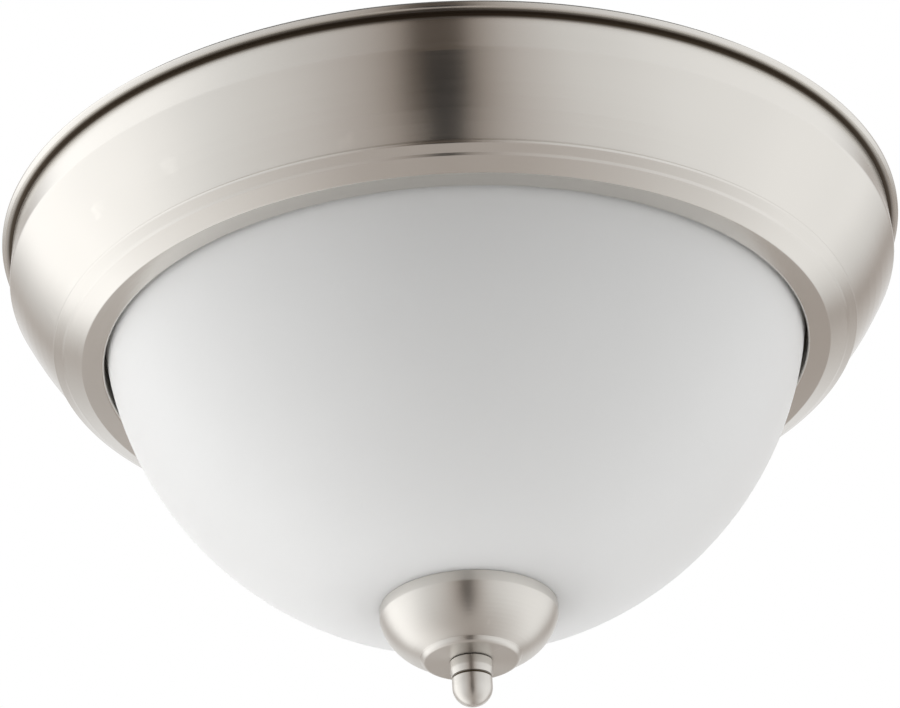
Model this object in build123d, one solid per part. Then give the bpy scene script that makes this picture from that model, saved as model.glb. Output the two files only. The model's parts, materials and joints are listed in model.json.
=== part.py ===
from build123d import *
import math
import os

# A flush ceiling light: a spun metal pan that screws to the ceiling box, an opal glass bowl drawn up
# into it by a centre rod, a cap and a finial, and two lamps lying level inside.
# The origin is the centre of the ceiling plane and everything hangs below it. A value that ends in
# DROP is a depth below the ceiling. All lengths are millimetres.

# Shared fits
OVERRUN = 5.0  # how far a cut runs past the face it opens
BODY_GAP = 0.3  # between pieces that move against each other
THREAD_GAP = 0.05  # between a shank and the hole that holds it
SHANK_GAP = 0.3  # between a shank and a hole that it only passes through

# Ceiling pan
PAN_SHEET = 0.9
RIM_R = 168.4
RIM_DEPTH = 2.9
RIM_ROUND = 1.3
RIM_OVERHANG = 3.9  # from the wall out to the rim's edge
WALL_DEPTH = 14.8
WALL_FLARE = 1.0
WALL_TOP_ROUND = 8.0
WALL_FOOT_ROUND = 3.0
SLOPE_DEPTH = 26.5
SLOPE_INSET = 17.9
SLOPE_FOOT_ROUND = 0.4
SLOPE_BULGE = 1.6
SLOPE_ROUND = 90.0
RING_STEP = 1.7  # how far the shoulder ring stands out from the slope
RING_SHOULDER = 0.4
RING_TOP_ROUND = 1.0
RING_DEPTH = 1.9
RING_ROUND = 1.3
RING_WIDTH = 3.0
RING_FALL = 0.7
STEP_INSET = 1.4  # the short steep step under the ring
STEP_DEPTH = 1.5
STEP_TOP_ROUND = 0.5
STEP_FOOT_ROUND = 1.1
BAND_WIDTH = 5.5
BAND_FALL = 1.5
BAND_ROUND = 0.5
LIP_INSET = 0.8
LIP_DEPTH = 1.1
LIP_ROUND = 1.1
LIP_WIDTH = 8.1
LIP_FALL = 0.4
MOUTH_ROUND = 1.8
LEDGE_RISE = 8.7
LEDGE_WIDTH = 12.5
LEDGE_ROUND = 0.6
LEDGE_INNER_ROUND = 1.5
TRAY_TAPER = 5.5
TRAY_ROUND = 3.0
PLATE_DROP = 10.9  # the back plate's underside
WIRE_HOLE_R = 6.6

# Crossbar on the ceiling box, with stepped-down ends
BAR_THICK = 1.6
BAR_WIDTH = 20.0
BAR_SLOT_END = 2.2  # from a slot's end to the bend
BAR_STEP_RUN = 3.0
BAR_STEP = 3.2
BAR_END = 6.0  # from a canopy screw to the bar's end
BAR_BEND_ROUND = 2.4
BAR_CORNER_ROUND = 3.0
BOX_SCREW_SPACING = 79.4  # midway between the 2 3/4 in and the 3 1/2 in ceiling boxes
BOX_SLOT_LENGTH = 14.2
BOX_SLOT_WIDTH = 4.6
BAR_CENTRE_HOLE_R = 5.2
GROUND_SCREW_X = 15.0
CANOPY_FROM_BEND = 8.0

# Screws: head radius, head height and shank radius
CANOPY_SHANK_R = 2.05
CANOPY_HEAD_R = 3.9
CANOPY_HEAD = 2.0
CANOPY_PROUD = 2.6  # how far the screw shows under its nut
NUT_R = 6.5
NUT_COLLAR_R = 4.6
NUT_COLLAR = 1.6
NUT_LENGTH = 8.0
NUT_EDGE = 0.7
GROUND_SHANK_R = 1.75
GROUND_HEAD_R = 4.2
GROUND_HEAD = 2.1
FEET_SHANK_R = 1.7
FEET_HEAD_R = 3.3
FEET_HEAD = 1.9
FEET_SHANK = 5.0
HEAD_EDGE = 0.5

# Glass-fibre pad on the ceiling side of the pan
PAD_BAR_GAP = 3.2  # round the crossbar's corners
PAD_RIM_GAP = 2.0
PAD_TOP_DROP = 0.4

# Strap that carries the centre rod
STRAP_THICK = 1.6
STRAP_WIDTH = 20.0
STRAP_HALF = 16.0
STRAP_DEPTH = 11.6  # from the back plate to the strap's lower face
STRAP_FLARE = 4.0
STRAP_FOOT = 14.0
STRAP_ROUND = 2.4

# Centre rod and its nuts
ROD_R = 4.8
ROD_PROUD = 0.5  # how far the rod shows above its upper nut
ROD_CHAMFER = 0.7
ROD_NUT_FLATS = 14.0
ROD_NUT_THICK = 3.8
WASHER_R = 7.6
WASHER_THICK = 1.0

# Glass bowl
GLASS_MOUTH_GAP = 0.4  # from the glass's upper edge to the mouth of the pan
GLASS_CENTRE_RISE = 18.3  # the sphere's centre above the glass's upper edge
GLASS_WALL = 3.5
GLASS_BEND_R = 90.0  # outer radius of the turn from the sphere to the flat bottom
GLASS_BEND_ANGLE = 30.0
GLASS_HOLE_R = 7.0
GLASS_EDGE = 1.0

# Rubber grommet in the hole of the glass
GROMMET_WALL = 1.5
GROMMET_FLANGE = 3.0
GROMMET_FLANGE_THICK = 1.6

# Cap under the glass
CAP_SHEET = 1.0
CAP_R = 32.2
CAP_BAND = 3.9
CAP_SHOULDER_ROUND = 1.3
CAP_TURN_INSET = 3.1
CAP_TURN_DEPTH = 14.5
CAP_TURN_ROUND = 20.5
CAP_FOOT_INSET = 14.0
CAP_FOOT_DEPTH = 18.9
CAP_FOOT_ROUND = 0.2
CAP_BASE_INSET = 0.3
CAP_BASE = 2.1
CAP_BASE_ROUND = 1.8

# Finial
FINIAL_R = 7.75
FINIAL_COLLAR = 3.2
FINIAL_RING = 2.5
FINIAL_RING_BEVEL = 0.5
FINIAL_GROOVE_INSET = 1.0
FINIAL_GROOVE = 1.0
FINIAL_DOME_INSET = 0.5
FINIAL_DOME = 10.0
FINIAL_DOME_ROUND = 6.9
FINIAL_EDGE = 0.2
FINIAL_CORE = 12.6  # depth of the threaded hole

# Lamp holders, two lying level and turned half a turn from each other
LAMP_ROD_GAP = 7.2  # between a bulb and the centre rod
LAMP_BELOW_LEDGE = 15.0
HOLDER_TRAY_GAP = 8.2  # from the bracket's corner to the tray wall
HOLDER_LENGTH = 40.0
HOLDER_REAR_STEP = 2.5
HOLDER_FLOOR_WALL = 1.0  # from the skirt's step to the floor of the bore
HOLDER_WALL = 5.15
HOLDER_EDGE = 1.2
HOLDER_BORE_DEPTH = 27.0
HOLDER_FLAT_CUT = 3.0  # depth of the flat under the wire screws
SHELL_THICK = 0.45
SHELL_SETBACK = 2.0
CONTACT_WIDTH = 6.0
CONTACT_THICK = 0.5
CONTACT_HALF = 7.0
CONTACT_RISE = 1.6
WIRE_SCREW_Y = 6.2
WIRE_SHANK_R = 1.5
WIRE_HEAD_R = 2.8
WIRE_HEAD = 1.8
WIRE_SHANK = 4.5
HOLDER_SCREW_Z = 9.0
HOLDER_SCREW_R = 1.5
HOLDER_SCREW_HEAD_R = 2.9
HOLDER_SCREW_HEAD = 1.6
HOLDER_SCREW_LENGTH = 9.0

# Brackets between the pan and the lamp holders
BRACKET_THICK = 1.2
BRACKET_WIDTH = 24.0
BRACKET_BELOW_AXIS = 14.0
BRACKET_TAB = 20.0
BRACKET_ROUND = 2.0
RIVET_Y = 6.5
RIVET_FROM_BEND = 12.5
RIVET_R = 1.9
RIVET_HEAD_R = 3.4
RIVET_HEAD = 1.1

# Lamps, a standard pear shape on a 26 mm screw base
LAMP_LENGTH = 106.0
BULB_R = 30.0
BULB_GLASS = 0.8
BULB_NECK_STEP = 0.35
BULB_NECK = 15.0
BULB_SHOULDER = 20.0
BULB_SIDE_ROUND = 34.0
BULB_END_ROUND = 29.5
BASE_R = 13.05
BASE_SHELL_THICK = 0.4
BASE_SHELL_START = 6.5
BASE_SHELL_SHOULDER = 9.0
BASE_SHELL_END = 27.0
BASE_CURL = 4.05
BASE_CURL_ROUND = 2.0
BASE_TIP_R = 4.6
BASE_TIP = 1.6
BASE_CONE_STEP = 0.8

# Leads and the bushing they leave through
LEAD_R = 1.2
BUSHING_WALL = 1.6
BUSHING_FLANGE = 2.2
BUSHING_FLANGE_THICK = 1.3
LEAD_RING_R = 3.4
LEAD_RING_ANGLES = (165.0, 115.0)
LEAD_PROUD = 1.4  # how far a lead shows above the back plate
LEAD_ROD_GAP = 0.6
LEAD_FALL = 2.2  # from over the rod down to over the holder
LEAD_BEND_ROUND = 3.4

# Sizes of the pan that follow from the ones above
WALL_TOP_R = RIM_R - RIM_OVERHANG
WALL_FOOT_R = WALL_TOP_R + WALL_FLARE
WALL_FOOT_DROP = RIM_DEPTH + WALL_DEPTH
SLOPE_FOOT_R = WALL_FOOT_R - SLOPE_INSET
SLOPE_FOOT_DROP = WALL_FOOT_DROP + SLOPE_DEPTH
RING_R = SLOPE_FOOT_R + RING_STEP
RING_TOP_DROP = SLOPE_FOOT_DROP + RING_SHOULDER
RING_DROP = RING_TOP_DROP + RING_DEPTH
STEP_TOP_R = RING_R - RING_WIDTH
STEP_TOP_DROP = RING_DROP + RING_FALL
STEP_FOOT_R = STEP_TOP_R - STEP_INSET
STEP_FOOT_DROP = STEP_TOP_DROP + STEP_DEPTH
BAND_R = STEP_FOOT_R - BAND_WIDTH
BAND_DROP = STEP_FOOT_DROP + BAND_FALL
LIP_R = BAND_R - LIP_INSET
LIP_DROP = BAND_DROP + LIP_DEPTH
MOUTH_R = LIP_R - LIP_WIDTH
MOUTH_DROP = LIP_DROP + LIP_FALL
LEDGE_R = MOUTH_R - LEDGE_WIDTH
LEDGE_DROP = MOUTH_DROP - LEDGE_RISE
TRAY_TOP_R = LEDGE_R - TRAY_TAPER
PLATE_TOP_DROP = PLATE_DROP - PAN_SHEET

# Sizes of what hangs on the ceiling box
BOX_SLOT_X = BOX_SCREW_SPACING / 2
BAR_FLAT_HALF = BOX_SLOT_X + BOX_SLOT_LENGTH / 2 + BAR_SLOT_END
CANOPY_X = BAR_FLAT_HALF + CANOPY_FROM_BEND
CANOPY_TIP_DROP = PLATE_DROP + NUT_LENGTH + CANOPY_PROUD
BAR_HALF = CANOPY_X + BAR_END
PAD_HOLE_R = math.hypot(BAR_HALF, BAR_WIDTH / 2) + PAD_BAR_GAP
STRAP_DROP = PLATE_DROP + STRAP_DEPTH
STRAP_FOOT_START = STRAP_HALF + STRAP_FLARE
STRAP_FOOT_END = STRAP_FOOT_START + STRAP_FOOT
STRAP_SCREW_Y = (STRAP_FOOT_START + STRAP_FOOT_END) / 2
ROD_TOP_DROP = STRAP_DROP - STRAP_THICK - ROD_NUT_THICK - ROD_PROUD
ROD_CLEAR_R = ROD_R + BODY_GAP

# Sizes of the glass, the cap and the finial
GLASS_TOP_DROP = LEDGE_DROP + BODY_GAP
GLASS_TOP_R = MOUTH_R - GLASS_MOUTH_GAP
GLASS_CENTRE_DROP = GLASS_TOP_DROP - GLASS_CENTRE_RISE
GLASS_R = math.hypot(GLASS_TOP_R, GLASS_CENTRE_RISE)
GLASS_BEND_X = (GLASS_R - GLASS_BEND_R) * math.sin(math.radians(GLASS_BEND_ANGLE))
GLASS_BEND_DROP = GLASS_CENTRE_DROP + (GLASS_R - GLASS_BEND_R) * math.cos(math.radians(GLASS_BEND_ANGLE))
GLASS_BASE_DROP = GLASS_BEND_DROP + GLASS_BEND_R
CAP_SEAT_X = CAP_R - CAP_SHEET - GLASS_BEND_X
CAP_TOP_DROP = GLASS_BEND_DROP + math.sqrt(GLASS_BEND_R**2 - CAP_SEAT_X**2) + THREAD_GAP
CAP_TURN_R = CAP_R - CAP_TURN_INSET
CAP_TURN_DROP = CAP_TOP_DROP + CAP_TURN_DEPTH
CAP_FOOT_R = CAP_R - CAP_FOOT_INSET
CAP_FOOT_DROP = CAP_TOP_DROP + CAP_FOOT_DEPTH
CAP_BASE_R = CAP_FOOT_R - CAP_BASE_INSET
CAP_BASE_DROP = CAP_FOOT_DROP + CAP_BASE
FINIAL_RING_R = FINIAL_R - FINIAL_RING_BEVEL
FINIAL_GROOVE_R = FINIAL_R - FINIAL_GROOVE_INSET
FINIAL_DOME_R = FINIAL_R - FINIAL_DOME_INSET
FINIAL_TOP_DROP = CAP_BASE_DROP + BODY_GAP
FINIAL_RING_DROP = FINIAL_TOP_DROP + FINIAL_COLLAR
FINIAL_GROOVE_DROP = FINIAL_RING_DROP + FINIAL_RING
FINIAL_DOME_DROP = FINIAL_GROOVE_DROP + FINIAL_GROOVE
FINIAL_TIP_DROP = FINIAL_DOME_DROP + FINIAL_DOME
ROD_TIP_DROP = FINIAL_TOP_DROP + FINIAL_CORE - BODY_GAP

# Sizes of the lamps, their holders and the leads
BULB_NECK_R = BASE_R + BULB_NECK_STEP
BULB_NECK_END = BASE_SHELL_END + BULB_NECK
BULB_SHOULDER_X = BULB_NECK_END + BULB_SHOULDER
BASE_CURL_R = BASE_R - BASE_CURL
BASE_CONE_R = BASE_TIP_R + BASE_CONE_STEP
LAMP_Y = ROD_R + LAMP_ROD_GAP + BULB_R
LAMP_DROP = LEDGE_DROP + LAMP_BELOW_LEDGE
BRACKET_CORNER_R = TRAY_TOP_R - HOLDER_TRAY_GAP
HOLDER_BACK_X = math.sqrt(BRACKET_CORNER_R**2 - (LAMP_Y + BRACKET_WIDTH / 2) ** 2) - BRACKET_THICK
HOLDER_BORE_R = BASE_R + BODY_GAP + SHELL_THICK + THREAD_GAP
HOLDER_SKIRT_R = HOLDER_BORE_R + HOLDER_WALL
HOLDER_REAR_R = HOLDER_SKIRT_R - HOLDER_REAR_STEP
HOLDER_WIRE_FLAT = HOLDER_REAR_R - HOLDER_FLAT_CUT
SHELL_R = HOLDER_BORE_R - THREAD_GAP
BORE_FLOOR_X = HOLDER_LENGTH - HOLDER_BORE_DEPTH
LAMP_START_X = BORE_FLOOR_X + CONTACT_RISE + CONTACT_THICK + BODY_GAP
HOLDER_REAR = BORE_FLOOR_X - HOLDER_FLOOR_WALL
WIRE_SCREW_X = HOLDER_REAR - BODY_GAP - 2 * LEAD_R - THREAD_GAP - WIRE_HEAD_R
LEAD_TOP_DROP = PLATE_TOP_DROP - LEAD_PROUD
LEAD_ENTRY_DROP = ROD_TOP_DROP - LEAD_R - LEAD_ROD_GAP
LEAD_RISE_DROP = LEAD_ENTRY_DROP + LEAD_FALL


def bent_edges(corners, rounds):
    """Straight runs through the corners, joined by tangent arcs; a radius of zero leaves a corner sharp."""
    edges = []
    start = Vector(*corners[0])
    for before, at, after, radius in zip(corners, corners[1:], corners[2:], rounds):
        corner = Vector(*at)
        if radius == 0:
            edges.append(Line(start, corner))
            start = corner
            continue
        back = (Vector(*before) - corner).normalized()
        ahead = (Vector(*after) - corner).normalized()
        half_angle = math.acos(back.dot(ahead)) / 2
        entry = corner + back * (radius / math.tan(half_angle))
        leave = corner + ahead * (radius / math.tan(half_angle))
        middle = corner + (back + ahead).normalized() * (radius / math.sin(half_angle) - radius)
        edges += [Line(start, entry), ThreePointArc(entry, middle, leave)]
        start = leave
    edges.append(Line(start, Vector(*corners[-1])))
    return edges


def right_of(a, b):
    """Unit vector to the right of the way from a to b."""
    along = (Vector(*b) - Vector(*a)).normalized()
    return Vector(along.Y, -along.X)


def bent_sheet(corners, rounds, thickness):
    """Section of a bent sheet: the corners give one face and the sheet lies to its right."""
    normals = [right_of(a, b) for a, b in zip(corners, corners[1:])]
    far_corners = [Vector(*corners[0]) + normals[0] * thickness]
    far_rounds = []
    for corner, n_in, n_out, radius in zip(corners[1:], normals, normals[1:], rounds):
        far_corners.append(Vector(*corner) + (n_in + n_out) * (thickness / (1 + n_in.dot(n_out))))
        turns_right = n_in.X * n_out.Y < n_in.Y * n_out.X
        far_rounds.append(radius - thickness if turns_right else radius + thickness)
    far_corners.append(Vector(*corners[-1]) + normals[-1] * thickness)
    far_corners = [(v.X, v.Y) for v in far_corners]
    near = bent_edges(corners, rounds)
    far = bent_edges(far_corners, far_rounds)
    ends = [Line(corners[0], far_corners[0]), Line(corners[-1], far_corners[-1])]
    return make_face(Wire(near + far + ends))


def turned(face):
    """Solid of a section turned about the vertical axis."""
    return revolve(Plane.XZ * face, Axis.Z)


def turned_level(face):
    """Solid of a section turned about the X axis."""
    return revolve(face, Axis.X)


def rounded_face(corners, rounds):
    """Closed face whose inner corners are rounded and whose ends are joined straight."""
    return make_face(Wire(bent_edges(corners, rounds) + [Line(corners[-1], corners[0])]))


def disc(radius, top_drop, base_drop, x=0, y=0):
    """Upright cylinder between two depths below the ceiling."""
    height = base_drop - top_drop
    return Pos(x, y, -base_drop) * Cylinder(radius, height, align=(Align.CENTER, Align.CENTER, Align.MIN))


def washer(radius, hole_r, top_drop, base_drop):
    """Flat ring on the vertical axis."""
    return disc(radius, top_drop, base_drop) - disc(hole_r, top_drop - OVERRUN, base_drop + OVERRUN)


def screw(head_r, head, shank_r, shank):
    """Screw that points down, with the underside of its rounded head at the origin."""
    corners = [(0, head), (head_r, head), (head_r, 0), (shank_r, 0), (shank_r, -shank), (0, -shank)]
    return turned(rounded_face(corners, [HEAD_EDGE, 0, 0, HEAD_EDGE]))


def drill(radius, depth):
    """Cutter for a hole that starts at the origin and goes down."""
    return Pos(0, 0, -depth) * Cylinder(radius, depth + OVERRUN, align=(Align.CENTER, Align.CENTER, Align.MIN))


def half_turn(shape):
    """The shape moved to the opposite side of the vertical axis."""
    return Rot(0, 0, 180) * shape


def write(name, *shapes):
    """Writes one sub-part; several loose solids become one group."""
    pieces = [piece for shape in shapes for piece in shape.solids()]
    body = pieces[0] if len(pieces) == 1 else Compound(children=pieces)
    body.label = name
    export_step(body, os.path.join("parts", name + ".step"))


def pan_sheet():
    """The spun pan: wall, shoulder ring, step, band, lip, glass ledge and back plate in one sheet."""
    slope_run = Vector(SLOPE_FOOT_R, -SLOPE_FOOT_DROP) - Vector(WALL_FOOT_R, -WALL_FOOT_DROP)
    outward = right_of((0, 0), (slope_run.X, slope_run.Y)) * -SLOPE_BULGE
    bulge = Vector(WALL_FOOT_R, -WALL_FOOT_DROP) + slope_run / 2 + outward
    corners = [
        (WALL_TOP_R, 0),
        (WALL_TOP_R, -RIM_DEPTH),
        (WALL_FOOT_R, -WALL_FOOT_DROP),
        (bulge.X, bulge.Y),
        (SLOPE_FOOT_R, -SLOPE_FOOT_DROP),
        (RING_R, -RING_TOP_DROP),
        (RING_R, -RING_DROP),
        (STEP_TOP_R, -STEP_TOP_DROP),
        (STEP_FOOT_R, -STEP_FOOT_DROP),
        (BAND_R, -BAND_DROP),
        (LIP_R, -LIP_DROP),
        (MOUTH_R, -MOUTH_DROP),
        (MOUTH_R, -LEDGE_DROP),
        (LEDGE_R, -LEDGE_DROP),
        (TRAY_TOP_R, -PLATE_DROP),
        (WIRE_HOLE_R, -PLATE_DROP),
    ]
    rounds = [
        WALL_TOP_ROUND,
        WALL_FOOT_ROUND,
        SLOPE_ROUND,
        SLOPE_FOOT_ROUND,
        RING_TOP_ROUND,
        RING_ROUND,
        STEP_TOP_ROUND,
        STEP_FOOT_ROUND,
        BAND_ROUND,
        LIP_ROUND,
        MOUTH_ROUND,
        LEDGE_ROUND,
        LEDGE_INNER_ROUND,
        TRAY_ROUND,
    ]
    return turned(bent_sheet(corners, rounds, PAN_SHEET))


def pan_rim():
    """The hem rolled outward where the pan meets the ceiling."""
    inner_r = WALL_TOP_R - PAN_SHEET
    corners = [(inner_r, 0), (RIM_R, 0), (RIM_R, -RIM_DEPTH), (inner_r, -RIM_DEPTH)]
    return turned(rounded_face(corners, [RIM_ROUND, RIM_ROUND]))


def rivet_places():
    """Centres of the two rivets of the first bracket, in plan."""
    x = -HOLDER_BACK_X + RIVET_FROM_BEND
    return [(x, LAMP_Y - RIVET_Y), (x, LAMP_Y + RIVET_Y)]


def ceiling_pan():
    """Pan with its holes for the canopy screws, the strap screws and the rivets."""
    pan = pan_sheet() + pan_rim()
    for side in (-1, 1):
        pan -= disc(CANOPY_SHANK_R + SHANK_GAP, 0, PLATE_DROP + OVERRUN, x=side * CANOPY_X)
        pan -= disc(FEET_SHANK_R + THREAD_GAP, 0, PLATE_DROP + OVERRUN, y=side * STRAP_SCREW_Y)
    for x, y in rivet_places():
        hole = disc(RIVET_R + THREAD_GAP, 0, PLATE_DROP + OVERRUN, x=x, y=y)
        pan -= hole
        pan -= half_turn(hole)
    return pan


def crossbar():
    """Strap with slots for the box screws, stepped-down ends and holes for the canopy screws."""
    step_x = BAR_FLAT_HALF + BAR_STEP_RUN
    low = -BAR_THICK - BAR_STEP
    corners = [
        (-BAR_HALF, low),
        (-step_x, low),
        (-BAR_FLAT_HALF, -BAR_THICK),
        (BAR_FLAT_HALF, -BAR_THICK),
        (step_x, low),
        (BAR_HALF, low),
    ]
    rounds = [BAR_BEND_ROUND, BAR_BEND_ROUND, BAR_BEND_ROUND, BAR_BEND_ROUND]
    section = bent_sheet(corners[::-1], rounds, BAR_THICK)
    bar = extrude(Plane.XZ * section, BAR_WIDTH / 2, both=True)
    bar = fillet(bar.edges().filter_by(Axis.Z), BAR_CORNER_ROUND)
    bar -= disc(BAR_CENTRE_HOLE_R, -OVERRUN, BAR_THICK + OVERRUN)
    bar -= disc(GROUND_SHANK_R + THREAD_GAP, -OVERRUN, BAR_THICK + OVERRUN, x=GROUND_SCREW_X)
    slot = extrude(SlotOverall(BOX_SLOT_LENGTH, BOX_SLOT_WIDTH), BAR_THICK + OVERRUN, both=True)
    for side in (-1, 1):
        bar -= Pos(side * BOX_SLOT_X, 0, 0) * slot
        bar -= disc(CANOPY_SHANK_R + THREAD_GAP, -OVERRUN, BAR_STEP + BAR_THICK + OVERRUN, x=side * CANOPY_X)
    return bar


def canopy_screw():
    """Machine screw that hangs from one end of the crossbar."""
    shank = CANOPY_TIP_DROP - BAR_STEP
    return Pos(CANOPY_X, 0, -BAR_STEP) * screw(CANOPY_HEAD_R, CANOPY_HEAD, CANOPY_SHANK_R, shank)


def canopy_nut():
    """Thumb nut with a collar against the back plate."""
    bore = CANOPY_SHANK_R + THREAD_GAP
    corners = [
        (bore, 0),
        (NUT_COLLAR_R, 0),
        (NUT_COLLAR_R, -NUT_COLLAR),
        (NUT_R, -NUT_COLLAR),
        (NUT_R, -NUT_LENGTH),
        (bore, -NUT_LENGTH),
    ]
    return Pos(CANOPY_X, 0, -PLATE_DROP) * turned(rounded_face(corners, [0, 0, NUT_EDGE, NUT_EDGE]))


def ground_screw():
    """Green wire screw under the crossbar, with its head down."""
    turned_over = Rot(180, 0, 0) * screw(GROUND_HEAD_R, GROUND_HEAD, GROUND_SHANK_R, BAR_THICK)
    return Pos(GROUND_SCREW_X, 0, -BAR_THICK) * turned_over


def insulation_pad():
    """Glass-fibre ring that lies on the back plate, pressed over the rivet heads."""
    pad = washer(WALL_TOP_R - PAN_SHEET - PAD_RIM_GAP, PAD_HOLE_R, PAD_TOP_DROP, PLATE_TOP_DROP)
    for x, y in rivet_places():
        room = disc(RIVET_HEAD_R + SHANK_GAP, PLATE_TOP_DROP - RIVET_HEAD - SHANK_GAP, PLATE_DROP, x=x, y=y)
        pad -= room
        pad -= half_turn(room)
    return pad


def rod_strap():
    """Hat-shaped strap on the underside of the back plate."""
    foot = -PLATE_DROP - STRAP_THICK
    corners = [
        (-STRAP_FOOT_END, foot),
        (-STRAP_FOOT_START, foot),
        (-STRAP_HALF, -STRAP_DROP),
        (STRAP_HALF, -STRAP_DROP),
        (STRAP_FOOT_START, foot),
        (STRAP_FOOT_END, foot),
    ]
    rounds = [STRAP_ROUND, STRAP_ROUND, STRAP_ROUND, STRAP_ROUND]
    section = bent_sheet(corners[::-1], rounds, STRAP_THICK)
    strap = extrude(Plane.YZ * section, STRAP_WIDTH / 2, both=True)
    strap -= disc(ROD_R + THREAD_GAP, PLATE_DROP, STRAP_DROP + OVERRUN)
    for side in (-1, 1):
        strap -= disc(FEET_SHANK_R + THREAD_GAP, 0, PLATE_DROP + STRAP_THICK + OVERRUN, y=side * STRAP_SCREW_Y)
    return strap


def strap_screw():
    """Screw through one foot of the strap into the back plate, with its head down."""
    turned_over = Rot(180, 0, 0) * screw(FEET_HEAD_R, FEET_HEAD, FEET_SHANK_R, FEET_SHANK)
    return Pos(0, STRAP_SCREW_Y, -PLATE_DROP - STRAP_THICK) * turned_over


def center_rod():
    """Centre rod from the strap down into the finial."""
    rod = disc(ROD_R, ROD_TOP_DROP, ROD_TIP_DROP)
    return chamfer(rod.edges(), ROD_CHAMFER)


def rod_nut(top_drop):
    """Hexagon nut on the centre rod."""
    hexagon = RegularPolygon(ROD_NUT_FLATS / 2, 6, major_radius=False)
    nut = Pos(0, 0, -top_drop - ROD_NUT_THICK) * extrude(hexagon, ROD_NUT_THICK)
    return nut - disc(ROD_R + THREAD_GAP, top_drop - OVERRUN, top_drop + ROD_NUT_THICK + OVERRUN)


def glass_section(offset_in, top_drop):
    """The arcs of the bowl's section, a given distance inside its outer face."""
    sphere_r = GLASS_R - offset_in
    bend_r = GLASS_BEND_R - offset_in
    start = -math.degrees(math.asin((top_drop - GLASS_CENTRE_DROP) / sphere_r))
    sweep = -(90 - GLASS_BEND_ANGLE) - start
    side = CenterArc((0, -GLASS_CENTRE_DROP), sphere_r, start, sweep)
    bend = CenterArc((GLASS_BEND_X, -GLASS_BEND_DROP), bend_r, GLASS_BEND_ANGLE - 90, -GLASS_BEND_ANGLE)
    base = Line(bend @ 1, (GLASS_HOLE_R, (bend @ 1).Y))
    return [side, bend, base]


def glass_bowl():
    """Opal bowl: a sphere that turns into a flat bottom with a hole for the rod."""
    outer = glass_section(0, GLASS_TOP_DROP)
    inner = glass_section(GLASS_WALL, GLASS_TOP_DROP)
    rim = Line(outer[0] @ 0, inner[0] @ 0)
    hole = Line(outer[2] @ 1, inner[2] @ 1)
    bowl = turned(make_face(Wire(outer + inner + [rim, hole])))
    return fillet(bowl.edges().group_by(Axis.Z)[-1], GLASS_EDGE)


def glass_grommet():
    """Rubber ring clipped into the hole of the glass, with a flange on each side."""
    neck_r = GLASS_HOLE_R - THREAD_GAP
    bore_r = neck_r - GROMMET_WALL
    flange_r = neck_r + GROMMET_FLANGE
    upper = GLASS_BASE_DROP - GLASS_WALL
    grommet = disc(neck_r, upper, GLASS_BASE_DROP)
    grommet += disc(flange_r, upper - GROMMET_FLANGE_THICK, upper)
    grommet += disc(flange_r, GLASS_BASE_DROP, GLASS_BASE_DROP + GROMMET_FLANGE_THICK)
    return grommet - disc(bore_r, upper - OVERRUN, GLASS_BASE_DROP + OVERRUN)


def cap():
    """Spun cap: a short band against the glass, a rounded bowl and a flat foot."""
    corners = [
        (CAP_R, -CAP_TOP_DROP),
        (CAP_R, -CAP_TOP_DROP - CAP_BAND),
        (CAP_TURN_R, -CAP_TURN_DROP),
        (CAP_FOOT_R, -CAP_FOOT_DROP),
        (CAP_BASE_R, -CAP_BASE_DROP),
        (ROD_CLEAR_R, -CAP_BASE_DROP),
    ]
    rounds = [CAP_SHOULDER_ROUND, CAP_TURN_ROUND, CAP_FOOT_ROUND, CAP_BASE_ROUND]
    return turned(bent_sheet(corners, rounds, CAP_SHEET))


def finial():
    """Turned finial: collar, bevelled ring, groove and dome, with a blind hole for the rod."""
    corners = [
        (0, -FINIAL_TOP_DROP),
        (FINIAL_R, -FINIAL_TOP_DROP),
        (FINIAL_R, -FINIAL_RING_DROP),
        (FINIAL_RING_R, -FINIAL_GROOVE_DROP),
        (FINIAL_GROOVE_R, -FINIAL_GROOVE_DROP),
        (FINIAL_GROOVE_R, -FINIAL_DOME_DROP),
        (FINIAL_DOME_R, -FINIAL_DOME_DROP),
        (FINIAL_DOME_R, -FINIAL_TIP_DROP),
        (0, -FINIAL_TIP_DROP),
    ]
    rounds = [FINIAL_EDGE, FINIAL_EDGE, FINIAL_EDGE, 0, 0, 0, FINIAL_DOME_ROUND]
    solid = turned(rounded_face(corners, rounds))
    return solid - disc(ROD_CLEAR_R, FINIAL_TOP_DROP - OVERRUN, FINIAL_TOP_DROP + FINIAL_CORE)


def place_level(shape):
    """Moves a shape made along +X from the back of the holder to the first lamp's place."""
    return Pos(-HOLDER_BACK_X, LAMP_Y, -LAMP_DROP) * shape


def wire_screw_places():
    """The two wire screws on the flat of a holder, in its own place."""
    return [(WIRE_SCREW_X, -WIRE_SCREW_Y, HOLDER_WIRE_FLAT), (WIRE_SCREW_X, WIRE_SCREW_Y, HOLDER_WIRE_FLAT)]


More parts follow.
